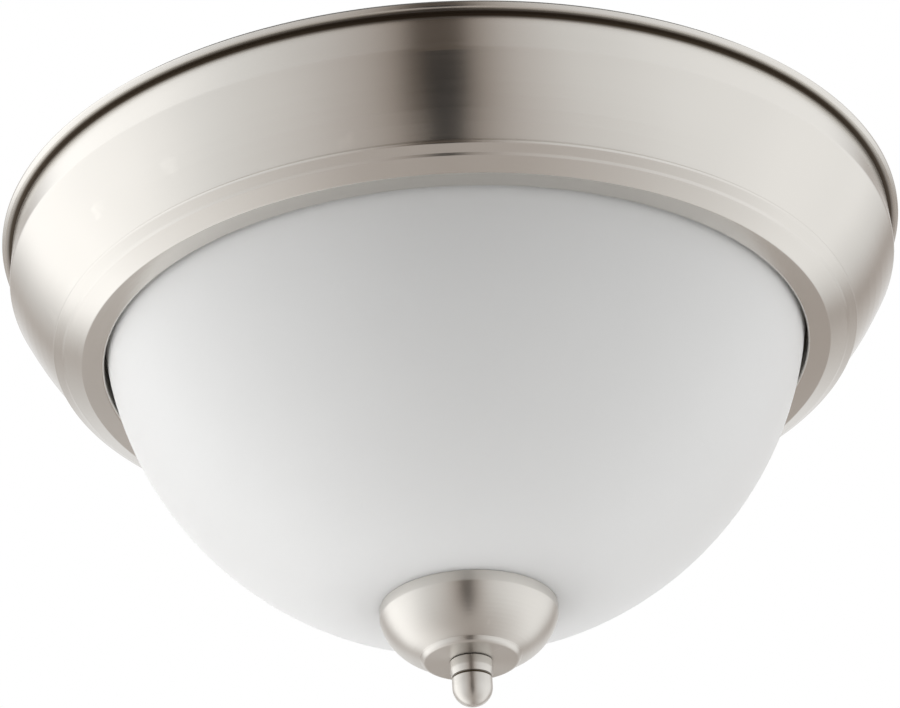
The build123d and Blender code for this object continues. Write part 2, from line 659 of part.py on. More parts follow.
def lamp_holder():
    """Porcelain holder along +X: a narrow rear with a flat for the wires, and a skirt with the bore."""
    corners = [
        (0, 0),
        (0, HOLDER_REAR_R),
        (HOLDER_REAR, HOLDER_REAR_R),
        (HOLDER_REAR, HOLDER_SKIRT_R),
        (HOLDER_LENGTH, HOLDER_SKIRT_R),
        (HOLDER_LENGTH, HOLDER_BORE_R),
        (BORE_FLOOR_X, HOLDER_BORE_R),
        (BORE_FLOOR_X, 0),
    ]
    holder = turned_level(rounded_face(corners, [HOLDER_EDGE, 0, HOLDER_EDGE, HOLDER_EDGE, 0, 0]))
    corner_of_flat = (Align.MAX, Align.CENTER, Align.MIN)
    above_flat = Box(HOLDER_REAR + OVERRUN, 2 * HOLDER_SKIRT_R, HOLDER_REAR_R, align=corner_of_flat)
    holder -= Pos(HOLDER_REAR, 0, HOLDER_WIRE_FLAT) * above_flat
    for place in wire_screw_places():
        holder -= Pos(*place) * drill(WIRE_SHANK_R + THREAD_GAP, WIRE_SHANK)
    for side in (-1, 1):
        hole = Rot(0, 90, 0) * Cylinder(HOLDER_SCREW_R + THREAD_GAP, 2 * HOLDER_SCREW_LENGTH)
        holder -= Pos(0, 0, side * HOLDER_SCREW_Z) * hole
    return holder


def holder_shell():
    """Brass screw shell that lines the bore."""
    end = HOLDER_LENGTH - SHELL_SETBACK
    inner_r = SHELL_R - SHELL_THICK
    corners = [(BORE_FLOOR_X, inner_r), (end, inner_r), (end, SHELL_R), (BORE_FLOOR_X, SHELL_R)]
    return turned_level(rounded_face(corners, [0, 0]))


def holder_contact():
    """Brass spring strip on the floor of the bore, arched towards the lamp's tip."""
    rise_x = BORE_FLOOR_X + CONTACT_RISE
    foot = CONTACT_HALF / 2
    corners = [
        (BORE_FLOOR_X, -CONTACT_HALF),
        (BORE_FLOOR_X, -foot),
        (rise_x, 0),
        (BORE_FLOOR_X, foot),
        (BORE_FLOOR_X, CONTACT_HALF),
    ]
    rounds = [CONTACT_THICK * 2, CONTACT_THICK * 2, CONTACT_THICK * 2]
    strip = bent_sheet(corners, rounds, CONTACT_THICK)
    return extrude(strip, CONTACT_WIDTH / 2, both=True)


def holder_screw(side):
    """Screw through the bracket into the rear of the holder."""
    upright = screw(HOLDER_SCREW_HEAD_R, HOLDER_SCREW_HEAD, HOLDER_SCREW_R, HOLDER_SCREW_LENGTH)
    return Pos(-BRACKET_THICK, 0, side * HOLDER_SCREW_Z) * Rot(0, -90, 0) * upright


def wire_screws():
    """The two wire screws of one holder."""
    return [Pos(*place) * screw(WIRE_HEAD_R, WIRE_HEAD, WIRE_SHANK_R, WIRE_SHANK) for place in wire_screw_places()]


def holder_bracket():
    """Right-angled bracket: a tab riveted to the back plate and a plate behind the holder."""
    top = LAMP_DROP - PLATE_DROP - BRACKET_THICK
    corners = [(BRACKET_TAB, top), (0, top), (0, -BRACKET_BELOW_AXIS)]
    section = bent_sheet(corners, [BRACKET_ROUND], BRACKET_THICK)
    bracket = extrude(Plane.XZ * section, BRACKET_WIDTH / 2, both=True)
    for side in (-1, 1):
        hole = Rot(0, 90, 0) * Cylinder(HOLDER_SCREW_R + THREAD_GAP, 2 * BRACKET_TAB)
        bracket -= Pos(0, 0, side * HOLDER_SCREW_Z) * hole
        rivet_hole = Pos(RIVET_FROM_BEND, side * RIVET_Y, 0) * Cylinder(RIVET_R + THREAD_GAP, 4 * LAMP_DROP)
        bracket -= rivet_hole
    return bracket


def rivet(x, y):
    """Rivet through the back plate and the bracket's tab."""
    grip = disc(RIVET_R, PLATE_TOP_DROP - RIVET_HEAD, PLATE_DROP + BRACKET_THICK + RIVET_HEAD, x=x, y=y)
    upper = disc(RIVET_HEAD_R, PLATE_TOP_DROP - RIVET_HEAD, PLATE_TOP_DROP, x=x, y=y)
    lower_top = PLATE_DROP + BRACKET_THICK
    lower = disc(RIVET_HEAD_R, lower_top, lower_top + RIVET_HEAD, x=x, y=y)
    upper = fillet(upper.edges().group_by(Axis.Z)[-1], HEAD_EDGE)
    lower = fillet(lower.edges().group_by(Axis.Z)[0], HEAD_EDGE)
    return grip + upper + lower


def lamp_envelope():
    """Frosted glass along +X from the lamp's tip: neck, shoulder and round end, open inside the base."""
    corners = [
        (BASE_SHELL_END, BULB_NECK_R),
        (BULB_NECK_END, BULB_NECK_R),
        (BULB_SHOULDER_X, BULB_R),
        (LAMP_LENGTH, BULB_R),
        (LAMP_LENGTH, 0),
    ]
    rounds = [BULB_SIDE_ROUND, BULB_SIDE_ROUND, BULB_END_ROUND]
    return turned_level(bent_sheet(corners, rounds, BULB_GLASS))


def lamp_screw_base():
    """Thin screw shell, curled in towards the lamp's tip."""
    corners = [(BASE_SHELL_START, BASE_CURL_R), (BASE_SHELL_SHOULDER, BASE_R), (BASE_SHELL_END, BASE_R)]
    return turned_level(bent_sheet(corners, [BASE_CURL_ROUND], BASE_SHELL_THICK))


def lamp_insulator():
    """Black glass cone between the shell and the tip."""
    back_x = BASE_SHELL_START - THREAD_GAP
    corners = [(BASE_TIP, 0), (BASE_TIP, BASE_CONE_R), (back_x, BASE_CURL_R), (back_x, 0)]
    return turned_level(rounded_face(corners, [0, 0]))


def lamp_contact():
    """Tip contact of the lamp."""
    corners = [(0, 0), (0, BASE_TIP_R), (BASE_TIP, BASE_TIP_R), (BASE_TIP, 0)]
    return turned_level(rounded_face(corners, [HEAD_EDGE, 0]))


def lead_bushing():
    """Flanged bushing in the middle hole of the back plate."""
    neck_r = WIRE_HOLE_R - THREAD_GAP
    bore_r = neck_r - BUSHING_WALL
    flange_r = neck_r + BUSHING_FLANGE
    bushing = disc(neck_r, PLATE_TOP_DROP, PLATE_DROP)
    bushing += disc(flange_r, PLATE_TOP_DROP - BUSHING_FLANGE_THICK, PLATE_TOP_DROP)
    bushing += disc(flange_r, PLATE_DROP, PLATE_DROP + BUSHING_FLANGE_THICK)
    return bushing - disc(bore_r, 0, PLATE_DROP + OVERRUN)


def lead(place, ring_angle):
    """Insulated lead from beside a wire screw of the first holder up into the bushing."""
    x = place[0] + WIRE_HEAD_R + LEAD_R + THREAD_GAP - HOLDER_BACK_X
    y = LAMP_Y + place[1]
    start_z = place[2] + THREAD_GAP - LAMP_DROP
    ring_x = LEAD_RING_R * math.cos(math.radians(ring_angle))
    ring_y = LEAD_RING_R * math.sin(math.radians(ring_angle))
    route = FilletPolyline(
        (x, y, start_z),
        (x, y, -LEAD_RISE_DROP),
        (ring_x, ring_y, -LEAD_ENTRY_DROP),
        (ring_x, ring_y, -LEAD_TOP_DROP),
        radius=LEAD_BEND_ROUND,
    )
    return sweep(Plane(origin=route @ 0, z_dir=route % 0) * Circle(LEAD_R), path=route)


def write_fixture():
    """The pieces that stay on the ceiling."""
    write("ceiling_pan", ceiling_pan())
    write("crossbar", crossbar())
    write("canopy_screws", canopy_screw(), half_turn(canopy_screw()))
    write("canopy_nuts", canopy_nut(), half_turn(canopy_nut()))
    write("ground_screw", ground_screw())
    write("insulation_pad", insulation_pad())
    write("rod_strap", rod_strap())
    write("strap_screws", strap_screw(), half_turn(strap_screw()))
    write("center_rod", center_rod())
    strap_top_drop = STRAP_DROP - STRAP_THICK
    write("rod_nut_upper", rod_nut(strap_top_drop - ROD_NUT_THICK))
    write("rod_lock_washer", washer(WASHER_R, ROD_R + THREAD_GAP, STRAP_DROP, STRAP_DROP + WASHER_THICK))
    write("rod_nut_lower", rod_nut(STRAP_DROP + WASHER_THICK))
    write("lead_bushing", lead_bushing())
    rivets = [rivet(x, y) for x, y in rivet_places()]
    write("bracket_rivets", *rivets, *[half_turn(shape) for shape in rivets])


def write_holders():
    """Both lamp holders with their brackets, screws, contacts and leads."""
    screws = [place_level(holder_screw(side)) for side in (-1, 1)]
    write("holder_screws", *screws, *[half_turn(shape) for shape in screws])
    wires = [place_level(shape) for shape in wire_screws()]
    write("wire_screws", *wires, *[half_turn(shape) for shape in wires])
    pieces = {
        "lamp_holder": lamp_holder(),
        "holder_shell": holder_shell(),
        "holder_contact": holder_contact(),
        "holder_bracket": holder_bracket(),
    }
    for name, shape in pieces.items():
        write(name + "_1", place_level(shape))
        write(name + "_2", half_turn(place_level(shape)))
    for colour, place, angle in zip(("white", "black"), wire_screw_places(), LEAD_RING_ANGLES):
        shape = lead(place, angle)
        write("lead_" + colour + "_1", shape)
        write("lead_" + colour + "_2", half_turn(shape))


def write_lamps():
    """Both lamps, each a body that screws out of its holder."""
    pieces = {
        "envelope": lamp_envelope(),
        "screw_base": lamp_screw_base(),
        "insulator": lamp_insulator(),
        "tip": lamp_contact(),
    }
    for name, shape in pieces.items():
        placed = place_level(Pos(LAMP_START_X, 0, 0) * shape)
        write("lamp_1_" + name, placed)
        write("lamp_2_" + name, half_turn(placed))


def write_shade():
    """The bowl with what comes down with it, and the finial."""
    write("glass_bowl", glass_bowl())
    write("glass_grommet", glass_grommet())
    write("cap", cap())
    write("finial", finial())


if __name__ == "__main__":
    os.makedirs("parts", exist_ok=True)
    write_fixture()
    write_holders()
    write_lamps()
    write_shade()
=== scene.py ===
"""Looks of a flush ceiling light: a satin nickel pan, an opal glass bowl, a cap, a finial and what is inside."""

import json
import logging
import math
from collections.abc import Callable
from dataclasses import dataclass, field
from enum import Enum

import bmesh
import bpy
from mathutils import Euler, Matrix, Vector, noise

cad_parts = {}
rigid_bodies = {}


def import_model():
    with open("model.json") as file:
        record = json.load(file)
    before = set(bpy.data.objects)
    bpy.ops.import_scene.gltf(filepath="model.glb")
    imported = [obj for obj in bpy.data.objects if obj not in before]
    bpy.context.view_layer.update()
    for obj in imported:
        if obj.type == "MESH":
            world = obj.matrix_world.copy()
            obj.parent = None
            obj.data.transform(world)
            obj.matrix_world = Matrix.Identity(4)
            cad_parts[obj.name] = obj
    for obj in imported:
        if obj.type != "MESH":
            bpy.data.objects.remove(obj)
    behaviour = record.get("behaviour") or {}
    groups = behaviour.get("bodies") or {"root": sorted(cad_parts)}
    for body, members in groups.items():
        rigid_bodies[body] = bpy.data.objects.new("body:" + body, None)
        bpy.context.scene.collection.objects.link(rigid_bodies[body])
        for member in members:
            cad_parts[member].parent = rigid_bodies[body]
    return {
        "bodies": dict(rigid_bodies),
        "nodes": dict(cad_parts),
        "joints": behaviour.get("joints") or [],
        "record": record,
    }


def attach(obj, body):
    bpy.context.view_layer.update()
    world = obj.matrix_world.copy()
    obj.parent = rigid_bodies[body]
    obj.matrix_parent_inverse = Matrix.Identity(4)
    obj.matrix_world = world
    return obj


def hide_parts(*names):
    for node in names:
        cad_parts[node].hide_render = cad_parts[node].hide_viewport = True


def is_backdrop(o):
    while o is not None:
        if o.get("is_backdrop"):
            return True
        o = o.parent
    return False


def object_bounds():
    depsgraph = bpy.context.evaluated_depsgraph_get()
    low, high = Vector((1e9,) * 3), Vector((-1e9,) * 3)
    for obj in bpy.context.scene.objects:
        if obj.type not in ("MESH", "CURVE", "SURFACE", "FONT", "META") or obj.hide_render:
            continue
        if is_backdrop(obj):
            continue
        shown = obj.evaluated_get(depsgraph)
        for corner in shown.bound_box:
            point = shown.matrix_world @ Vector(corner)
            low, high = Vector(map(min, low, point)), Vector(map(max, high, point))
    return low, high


log = logging.getLogger("ceiling_light")

Point = tuple[float, float]
Color = tuple[float, float, float]
Ripple = Callable[[float, float, float], float]

MM = 0.001


class Body(str, Enum):
    """The moving bodies of the light."""

    FIXTURE = "fixture"
    SHADE = "shade"
    FINIAL = "finial"
    LAMP_1 = "lamp_1"
    LAMP_2 = "lamp_2"


class Drive(Enum):
    """What is cut into a screw's head."""

    SLOT = "slot"
    CROSS = "cross"
    COMBINED = "combined"


@dataclass(frozen=True)
class Corner:
    """One corner of a turned section.

    Attributes:
        r: distance from the axis.
        z: place along the axis.
        bend: radius of the arc that rounds the corner, or zero for a sharp one.
    """

    r: float
    z: float
    bend: float = 0.0


def rounded_points(corners: list[Corner], arc_step: float = 0.09) -> list[Point]:
    """Follows straight runs through the corners, joined by tangent arcs.

    Args:
        corners: the section's corners in order.
        arc_step: the turn in radians between two points of an arc.

    Returns:
        The points of the line, as radius and height.
    """
    points: list[Point] = [(corners[0].r, corners[0].z)]
    for before, at, after in zip(corners, corners[1:], corners[2:]):
        corner = Vector((at.r, at.z))
        if at.bend == 0:
            points.append((at.r, at.z))
            continue
        back = (Vector((before.r, before.z)) - corner).normalized()
        ahead = (Vector((after.r, after.z)) - corner).normalized()
        half = math.acos(max(-1.0, min(1.0, back.dot(ahead)))) / 2
        centre = corner + (back + ahead).normalized() * (at.bend / math.sin(half))
        first = corner + back * (at.bend / math.tan(half)) - centre
        last = corner + ahead * (at.bend / math.tan(half)) - centre
        turn = math.atan2(first.x * last.y - first.y * last.x, first.dot(last))
        steps = max(4, math.ceil(abs(turn) / arc_step))
        for i in range(steps + 1):
            angle = turn * i / steps
            out = Matrix.Rotation(angle, 2) @ first
            points.append((centre.x + out.x, centre.y + out.y))
    points.append((corners[-1].r, corners[-1].z))
    return with_supports(points)


def with_supports(points: list[Point], reach: float = 0.25, longest: float = 1.5) -> list[Point]:
    """Adds a point near each end of every long run, so that smooth shading leaves the run flat."""
    line = [points[0]]
    for (r0, z0), (r1, z1) in zip(points, points[1:]):
        length = math.hypot(r1 - r0, z1 - z0)
        if length > longest:
            share = reach / length
            for part in (share, 1 - share):
                line.append((r0 + (r1 - r0) * part, z0 + (z1 - z0) * part))
        line.append((r1, z1))
    return line


def sheet_points(corners: list[Corner], thickness: float, arc_step: float = 0.09) -> list[Point]:
    """Closed outline of a bent sheet that lies to the right of its corners' line.

    Args:
        corners: the corners of the face that the sizes are given on.
        thickness: the sheet's thickness.
        arc_step: the turn in radians between two points of an arc.

    Returns:
        The outline's points, once round.
    """
    spots = [Vector((c.r, c.z)) for c in corners]
    normals = []
    for a, b in zip(spots, spots[1:]):
        along = (b - a).normalized()
        normals.append(Vector((along.y, -along.x)))
    first = spots[0] + normals[0] * thickness
    far = [Corner(first.x, first.y)]
    for corner, place, n_in, n_out in zip(corners[1:], spots[1:], normals, normals[1:]):
        moved = place + (n_in + n_out) * (thickness / (1 + n_in.dot(n_out)))
        turns_right = n_in.x * n_out.y < n_in.y * n_out.x
        far.append(Corner(moved.x, moved.y, corner.bend + (-thickness if turns_right else thickness)))
    last = spots[-1] + normals[-1] * thickness
    far.append(Corner(last.x, last.y))
    return rounded_points(corners, arc_step) + rounded_points(far, arc_step)[::-1]


def finish_mesh(name: str, mesh: bpy.types.Mesh, sharp: float = 35.0) -> bpy.types.Object:
    """Shades a mesh smooth, keeps its sharp edges and links it to the scene.

    Args:
        name: the piece's name.
        mesh: its mesh, in the shared frame.
        sharp: the angle in degrees above which an edge stays sharp.

    Returns:
        The new object.
    """
    mesh.shade_smooth()
    mesh.set_sharp_from_angle(angle=math.radians(sharp))
    piece = bpy.data.objects.new(name, mesh)
    bpy.context.scene.collection.objects.link(piece)
    return piece


@dataclass(frozen=True)
class Lathe:
    """Turns a section about an axis into a closed mesh.

    Attributes:
        segments: how many flats make the full turn.
        closed: whether the section is a closed outline, or runs from the axis to the axis.
        ripple: an offset of the radius for radius, height and angle, as for flutes or a thread.
    """

    segments: int = 192
    closed: bool = True
    ripple: Ripple | None = None

    def mesh(self, name: str, section: list[Point]) -> bpy.types.Mesh:
        """Builds the mesh about the vertical axis.

        Args:
            name: the mesh's name.
            section: radius and height of each point, in millimetres.

        Returns:
            The closed mesh.
        """
        shape = bmesh.new()
        rings = []
        tiny = 1e-5
        for r, z in section:
            if r < tiny:
                rings.append([shape.verts.new((0.0, 0.0, z))])
                continue
            ring = []
            for i in range(self.segments):
                angle = math.tau * i / self.segments
                out = r + (self.ripple(r, z, angle) if self.ripple else 0.0)
                ring.append(shape.verts.new((out * math.cos(angle), out * math.sin(angle), z)))
            rings.append(ring)
        pairs = list(zip(rings, rings[1:]))
        if self.closed:
            pairs.append((rings[-1], rings[0]))
        for low, high in pairs:
            self._join(shape, low, high)
        bmesh.ops.remove_doubles(shape, verts=shape.verts, dist=tiny)
        bmesh.ops.recalc_face_normals(shape, faces=shape.faces)
        mesh = bpy.data.meshes.new(name)
        shape.to_mesh(mesh)
        shape.free()
        mesh.transform(Matrix.Scale(MM, 4))
        return mesh

    def _join(self, shape: bmesh.types.BMesh, low: list, high: list) -> None:
        """Fills the band between two rings; a ring of one vertex is a pole."""
        for i in range(self.segments):
            j = (i + 1) % self.segments
            corners = [low[i % len(low)], low[j % len(low)], high[j % len(high)], high[i % len(high)]]
            unique = list(dict.fromkeys(corners))
            if len(unique) > 2:
                shape.faces.new(unique)

    def piece(self, name: str, section: list[Point], *places: Matrix) -> bpy.types.Object:
        """Builds a piece with a copy of the turned shape in each place.

        Args:
            name: the piece's name.
            section: radius and place along the axis of each point, in millimetres.
            places: where the section's zero point and axis go, or nothing for the shared frame itself.

        Returns:
            The piece, its object at the origin and its place in its mesh.
        """
        return finish_mesh(name, gathered(self.mesh(name, section), *places))


def gathered(mesh: bpy.types.Mesh, *places: Matrix) -> bpy.types.Mesh:
    """Joins a copy of the mesh in each place into one mesh."""
    if not places:
        return mesh
    joined = bmesh.new()
    for place in places:
        copy = mesh.copy()
        copy.transform(place)
        joined.from_mesh(copy)
        bpy.data.meshes.remove(copy)
    joined.to_mesh(mesh)
    joined.free()
    return mesh


def spot(x: float, y: float, z: float) -> Matrix:
    """A place in the shared frame, in millimetres."""
    return Matrix.Translation(Vector((x, y, z)) * MM)


HALF_TURN = Matrix.Rotation(math.pi, 4, "Z")
ALONG_X = Matrix.Rotation(math.pi / 2, 4, "Y")


class ShaderTree:
    """A node tree being built, with short calls that add nodes and join them."""

    def __init__(self, tree: bpy.types.NodeTree) -> None:
        """Starts on an empty tree."""
        self.tree = tree
        tree.nodes.clear()

    def add(self, kind: str, values: dict | None = None, **settings: object) -> bpy.types.Node:
        """Adds a shader node.

        Args:
            kind: the node's type without its ShaderNode prefix.
            values: what each input holds, or the socket that feeds it.
            settings: the node's own options.

        Returns:
            The new node.
        """
        node = self.tree.nodes.new("ShaderNode" + kind)
        for key, value in settings.items():
            setattr(node, key, value)
        for key, value in (values or {}).items():
            self.feed(node.inputs[key], value)
        return node

    def feed(self, target: bpy.types.NodeSocket, value: object) -> None:
        """Links a socket to an input, or sets the input's own value."""
        if isinstance(value, bpy.types.NodeSocket):
            self.tree.links.new(value, target)
        else:
            target.default_value = value

    def calc(self, operation: str, *values: object) -> bpy.types.NodeSocket:
        """Adds a math node and returns its result."""
        node = self.tree.nodes.new("ShaderNodeMath")
        node.operation = operation
        for target, value in zip(node.inputs, values):
            self.feed(target, value)
        return node.outputs[0]

    def span(self, value: object, low: float, high: float, new_low: float, new_high: float) -> bpy.types.NodeSocket:
        """Maps a value from one range to another and clamps it there."""
        ends = {"From Min": low, "From Max": high, "To Min": new_low, "To Max": new_high}
        return self.add("MapRange", {"Value": value, **ends}).outputs["Result"]

    def tint(self, factor: object, first: Color, second: Color) -> bpy.types.NodeSocket:
        """Mixes two colours by a factor."""
        mix = self.tree.nodes.new("ShaderNodeMix")
        mix.data_type = "RGBA"
        self.feed(mix.inputs[0], factor)
        mix.inputs[6].default_value = (*first, 1.0)
        mix.inputs[7].default_value = (*second, 1.0)
        return mix.outputs[2]

    def mixed(self, factor: object, under: object, over: Color) -> bpy.types.NodeSocket:
        """Lays a colour over what another socket gives, by a factor."""
        mix = self.tree.nodes.new("ShaderNodeMix")
        mix.data_type = "RGBA"
        self.feed(mix.inputs[0], factor)
        self.feed(mix.inputs[6], under)
        mix.inputs[7].default_value = (*over, 1.0)
        return mix.outputs[2]

    def ramp(self, factor: object, stops: list[tuple[float, Color]]) -> bpy.types.NodeSocket:
        """Gives the colour that lies at a place between 0 and 1 along a row of colours."""
        node = self.add("ValToRGB", {"Fac": factor})
        elements = node.color_ramp.elements
        while len(elements) > 1:
            elements.remove(elements[-1])
        for i, (place, color) in enumerate(stops):
            element = elements[0] if i == 0 else elements.new(place)
            element.position = place
            element.color = (*color, 1.0)
        return node.outputs["Color"]


class Effect:
    """A shared surface effect: a node group that is built once and placed in many materials."""

    def __init__(self, name: str, inputs: dict[str, float], outputs: list[str]) -> None:
        """Makes the group's sockets.

        Args:
            name: the group's name.
            inputs: each input and its usual value.
            outputs: the values that the group gives.
        """
        self.group = bpy.data.node_groups.new(name, "ShaderNodeTree")
        for key, value in inputs.items():
            socket = self.group.interface.new_socket(name=key, in_out="INPUT", socket_type="NodeSocketFloat")
            socket.default_value = value
        for key in outputs:
            self.group.interface.new_socket(name=key, in_out="OUTPUT", socket_type="NodeSocketFloat")
        self.tree = ShaderTree(self.group)
        self.inputs = self.group.nodes.new("NodeGroupInput").outputs
        self.results = self.group.nodes.new("NodeGroupOutput").inputs

    def give(self, name: str, value: bpy.types.NodeSocket) -> None:
        """Sends a value to one of the group's outputs."""
        self.group.links.new(value, self.results[name])

    def place(self, tree: ShaderTree, **values: object) -> bpy.types.NodeOutputs:
        """Places the effect in a material's tree and returns its outputs."""
        node = tree.tree.nodes.new("ShaderNodeGroup")
        node.node_tree = self.group
        for key, value in values.items():
            tree.feed(node.inputs[key], value)
        return node.outputs


class Effects:
    """The effects that several finishes share."""

    def __init__(self) -> None:
        """Builds each effect once."""
        self.rings = self._ring_brushing()
        self.grain = self._grain()
        self.wear = self._edge_wear()
        self.dust = self._dust()
        # A ring mask that places painted shade in corners and grooves.
        self.corner = self._painted_corner_shade()

    @staticmethod
    def _ring_brushing() -> Effect:
        """Lathe lines round the vertical axis, fainter on small pieces, and slow patches between them."""
        effect = Effect("ring_brushing", {"Density": 1800.0, "Length": 5.0}, ["Lines", "Patches", "Small"])
        tree = effect.tree
        place = tree.add("TexCoord").outputs["Object"]
        parts = tree.add("SeparateXYZ", {"Vector": place}).outputs
        flat = tree.add("CombineXYZ", {"X": parts["X"], "Y": parts["Y"]}).outputs[0]
        radius = tree.add("VectorMath", {0: flat}, operation="LENGTH").outputs["Value"]
        way = tree.add("VectorMath", {0: flat}, operation="NORMALIZE").outputs["Vector"]
        way = tree.add("VectorMath", {0: way, "Scale": effect.inputs["Length"]}, operation="SCALE").outputs["Vector"]
        rise = tree.calc("MULTIPLY", parts["Z"], effect.inputs["Density"])
        reach = tree.calc("MULTIPLY", radius, effect.inputs["Density"])
        lift = tree.add("CombineXYZ", {"Z": rise}).outputs[0]
        spot = tree.add("VectorMath", {0: way, 1: lift}, operation="ADD").outputs["Vector"]
        lines = tree.add("TexNoise", {"Vector": spot, "W": reach, "Scale": 1.0, "Detail": 3.0}, noise_dimensions="4D")
        depth = tree.span(radius, 0.035, 0.1, 0.3, 1.0)
        relief = tree.calc("SUBTRACT", tree.span(lines.outputs["Fac"], 0.3, 0.7, 0.0, 1.0), 0.5)
        effect.give("Lines", tree.calc("MULTIPLY_ADD", relief, depth, 0.5))
        effect.give("Small", tree.span(radius, 0.03, 0.06, 1.0, 0.0))
        slow = tree.add("TexNoise", {"Vector": place, "Scale": 14.0, "Detail": 2.0})
        effect.give("Patches", tree.span(slow.outputs["Fac"], 0.3, 0.7, 0.0, 1.0))
        return effect

    @staticmethod
    def _grain() -> Effect:
        """Even fine noise in space, for glass, porcelain, plastic and plated steel."""
        effect = Effect("grain", {"Scale": 900.0, "Slow": 30.0}, ["Fine", "Slow"])
        tree = effect.tree
        place = tree.add("TexCoord").outputs["Object"]
        for name, detail in (("Fine", 4.0), ("Slow", 2.0)):
            scale = effect.inputs["Scale" if name == "Fine" else "Slow"]
            cloud = tree.add("TexNoise", {"Vector": place, "Scale": scale, "Detail": detail})
            effect.give(name, tree.span(cloud.outputs["Fac"], 0.3, 0.7, 0.0, 1.0))
        return effect

    @staticmethod
    def _edge_wear() -> Effect:
        """A mask of the convex edges, where plating is rubbed brighter."""
        effect = Effect("edge_wear", {"Amount": 0.5}, ["Mask"])
        tree = effect.tree
        bend = tree.add("NewGeometry").outputs["Pointiness"]
        edge = tree.span(bend, 0.55, 0.65, 0.0, 1.0)
        cloud = tree.add("TexNoise", {"Vector": tree.add("TexCoord").outputs["Object"], "Scale": 160.0})
        broken = tree.span(cloud.outputs["Fac"], 0.35, 0.6, 0.0, 1.0)
        effect.give("Mask", tree.calc("MULTIPLY", tree.calc("MULTIPLY", edge, broken), effect.inputs["Amount"]))
        return effect

    @staticmethod
    def _dust() -> Effect:
        """A mask of the faces that look up, where a little dust lies."""
        effect = Effect("dust", {"Amount": 0.2}, ["Mask"])
        tree = effect.tree
        facing = tree.add("SeparateXYZ", {"Vector": tree.add("NewGeometry").outputs["Normal"]}).outputs["Z"]
        cloud = tree.add("TexNoise", {"Vector": tree.add("TexCoord").outputs["Object"], "Scale": 220.0, "Detail": 5.0})
        lies = tree.calc("MULTIPLY", tree.span(facing, 0.2, 0.9, 0.0, 1.0), tree.span(cloud.outputs["Fac"], 0.4, 0.7, 0.0, 1.0))
        effect.give("Mask", tree.calc("MULTIPLY", lies, effect.inputs["Amount"]))
        return effect


    @staticmethod
    def _painted_corner_shade() -> Effect:
        """A mask of what lies close to a ring, for the shade painted into a corner or a groove."""
        effect = Effect("corner", {"Radius": 0.1, "Height": 0.0, "Reach": 0.001}, ["Mask"])
        tree = effect.tree
        parts = tree.add("SeparateXYZ", {"Vector": tree.add("TexCoord").outputs["Object"]}).outputs
        flat = tree.add("CombineXYZ", {"X": parts["X"], "Y": parts["Y"]}).outputs[0]
        radius = tree.add("VectorMath", {0: flat}, operation="LENGTH").outputs["Value"]
        across = tree.calc("SUBTRACT", radius, effect.inputs["Radius"])
        along = tree.calc("SUBTRACT", parts["Z"], effect.inputs["Height"])
        gap = tree.calc("SQRT", tree.calc("ADD", tree.calc("POWER", across, 2.0), tree.calc("POWER", along, 2.0)))
        share = tree.calc("DIVIDE", gap, effect.inputs["Reach"])
        effect.give("Mask", tree.span(share, 0.75, 1.5, 1.0, 0.0))
        return effect


@dataclass(frozen=True)
class Finish:
    """What every finish has: a slot of the record and a base colour.

    Attributes:
        slot: the record's material slot.
        color: the base colour.
        rough: the roughness.
    """

    slot: str
    color: Color
    rough: float

    def start(self) -> tuple[bpy.types.Material, ShaderTree, bpy.types.Node]:
        """Makes the material with a Principled shader at its output."""
        material = bpy.data.materials.new(self.slot)
        material.use_nodes = True
        tree = ShaderTree(material.node_tree)
        shader = tree.add("BsdfPrincipled")
        out = tree.add("OutputMaterial")
        tree.tree.links.new(shader.outputs["BSDF"], out.inputs["Surface"])
        return material, tree, shader

    def shade(self, share: float) -> Color:
        """The base colour made darker or lighter by a share."""
        return tuple(min(1.0, c * share) for c in self.color)

    def build(self, effects: Effects) -> bpy.types.Material:
        """Builds the material.

        Args:
            effects: the shared effects.

        Returns:
            The finished material.
        """
        raise NotImplementedError


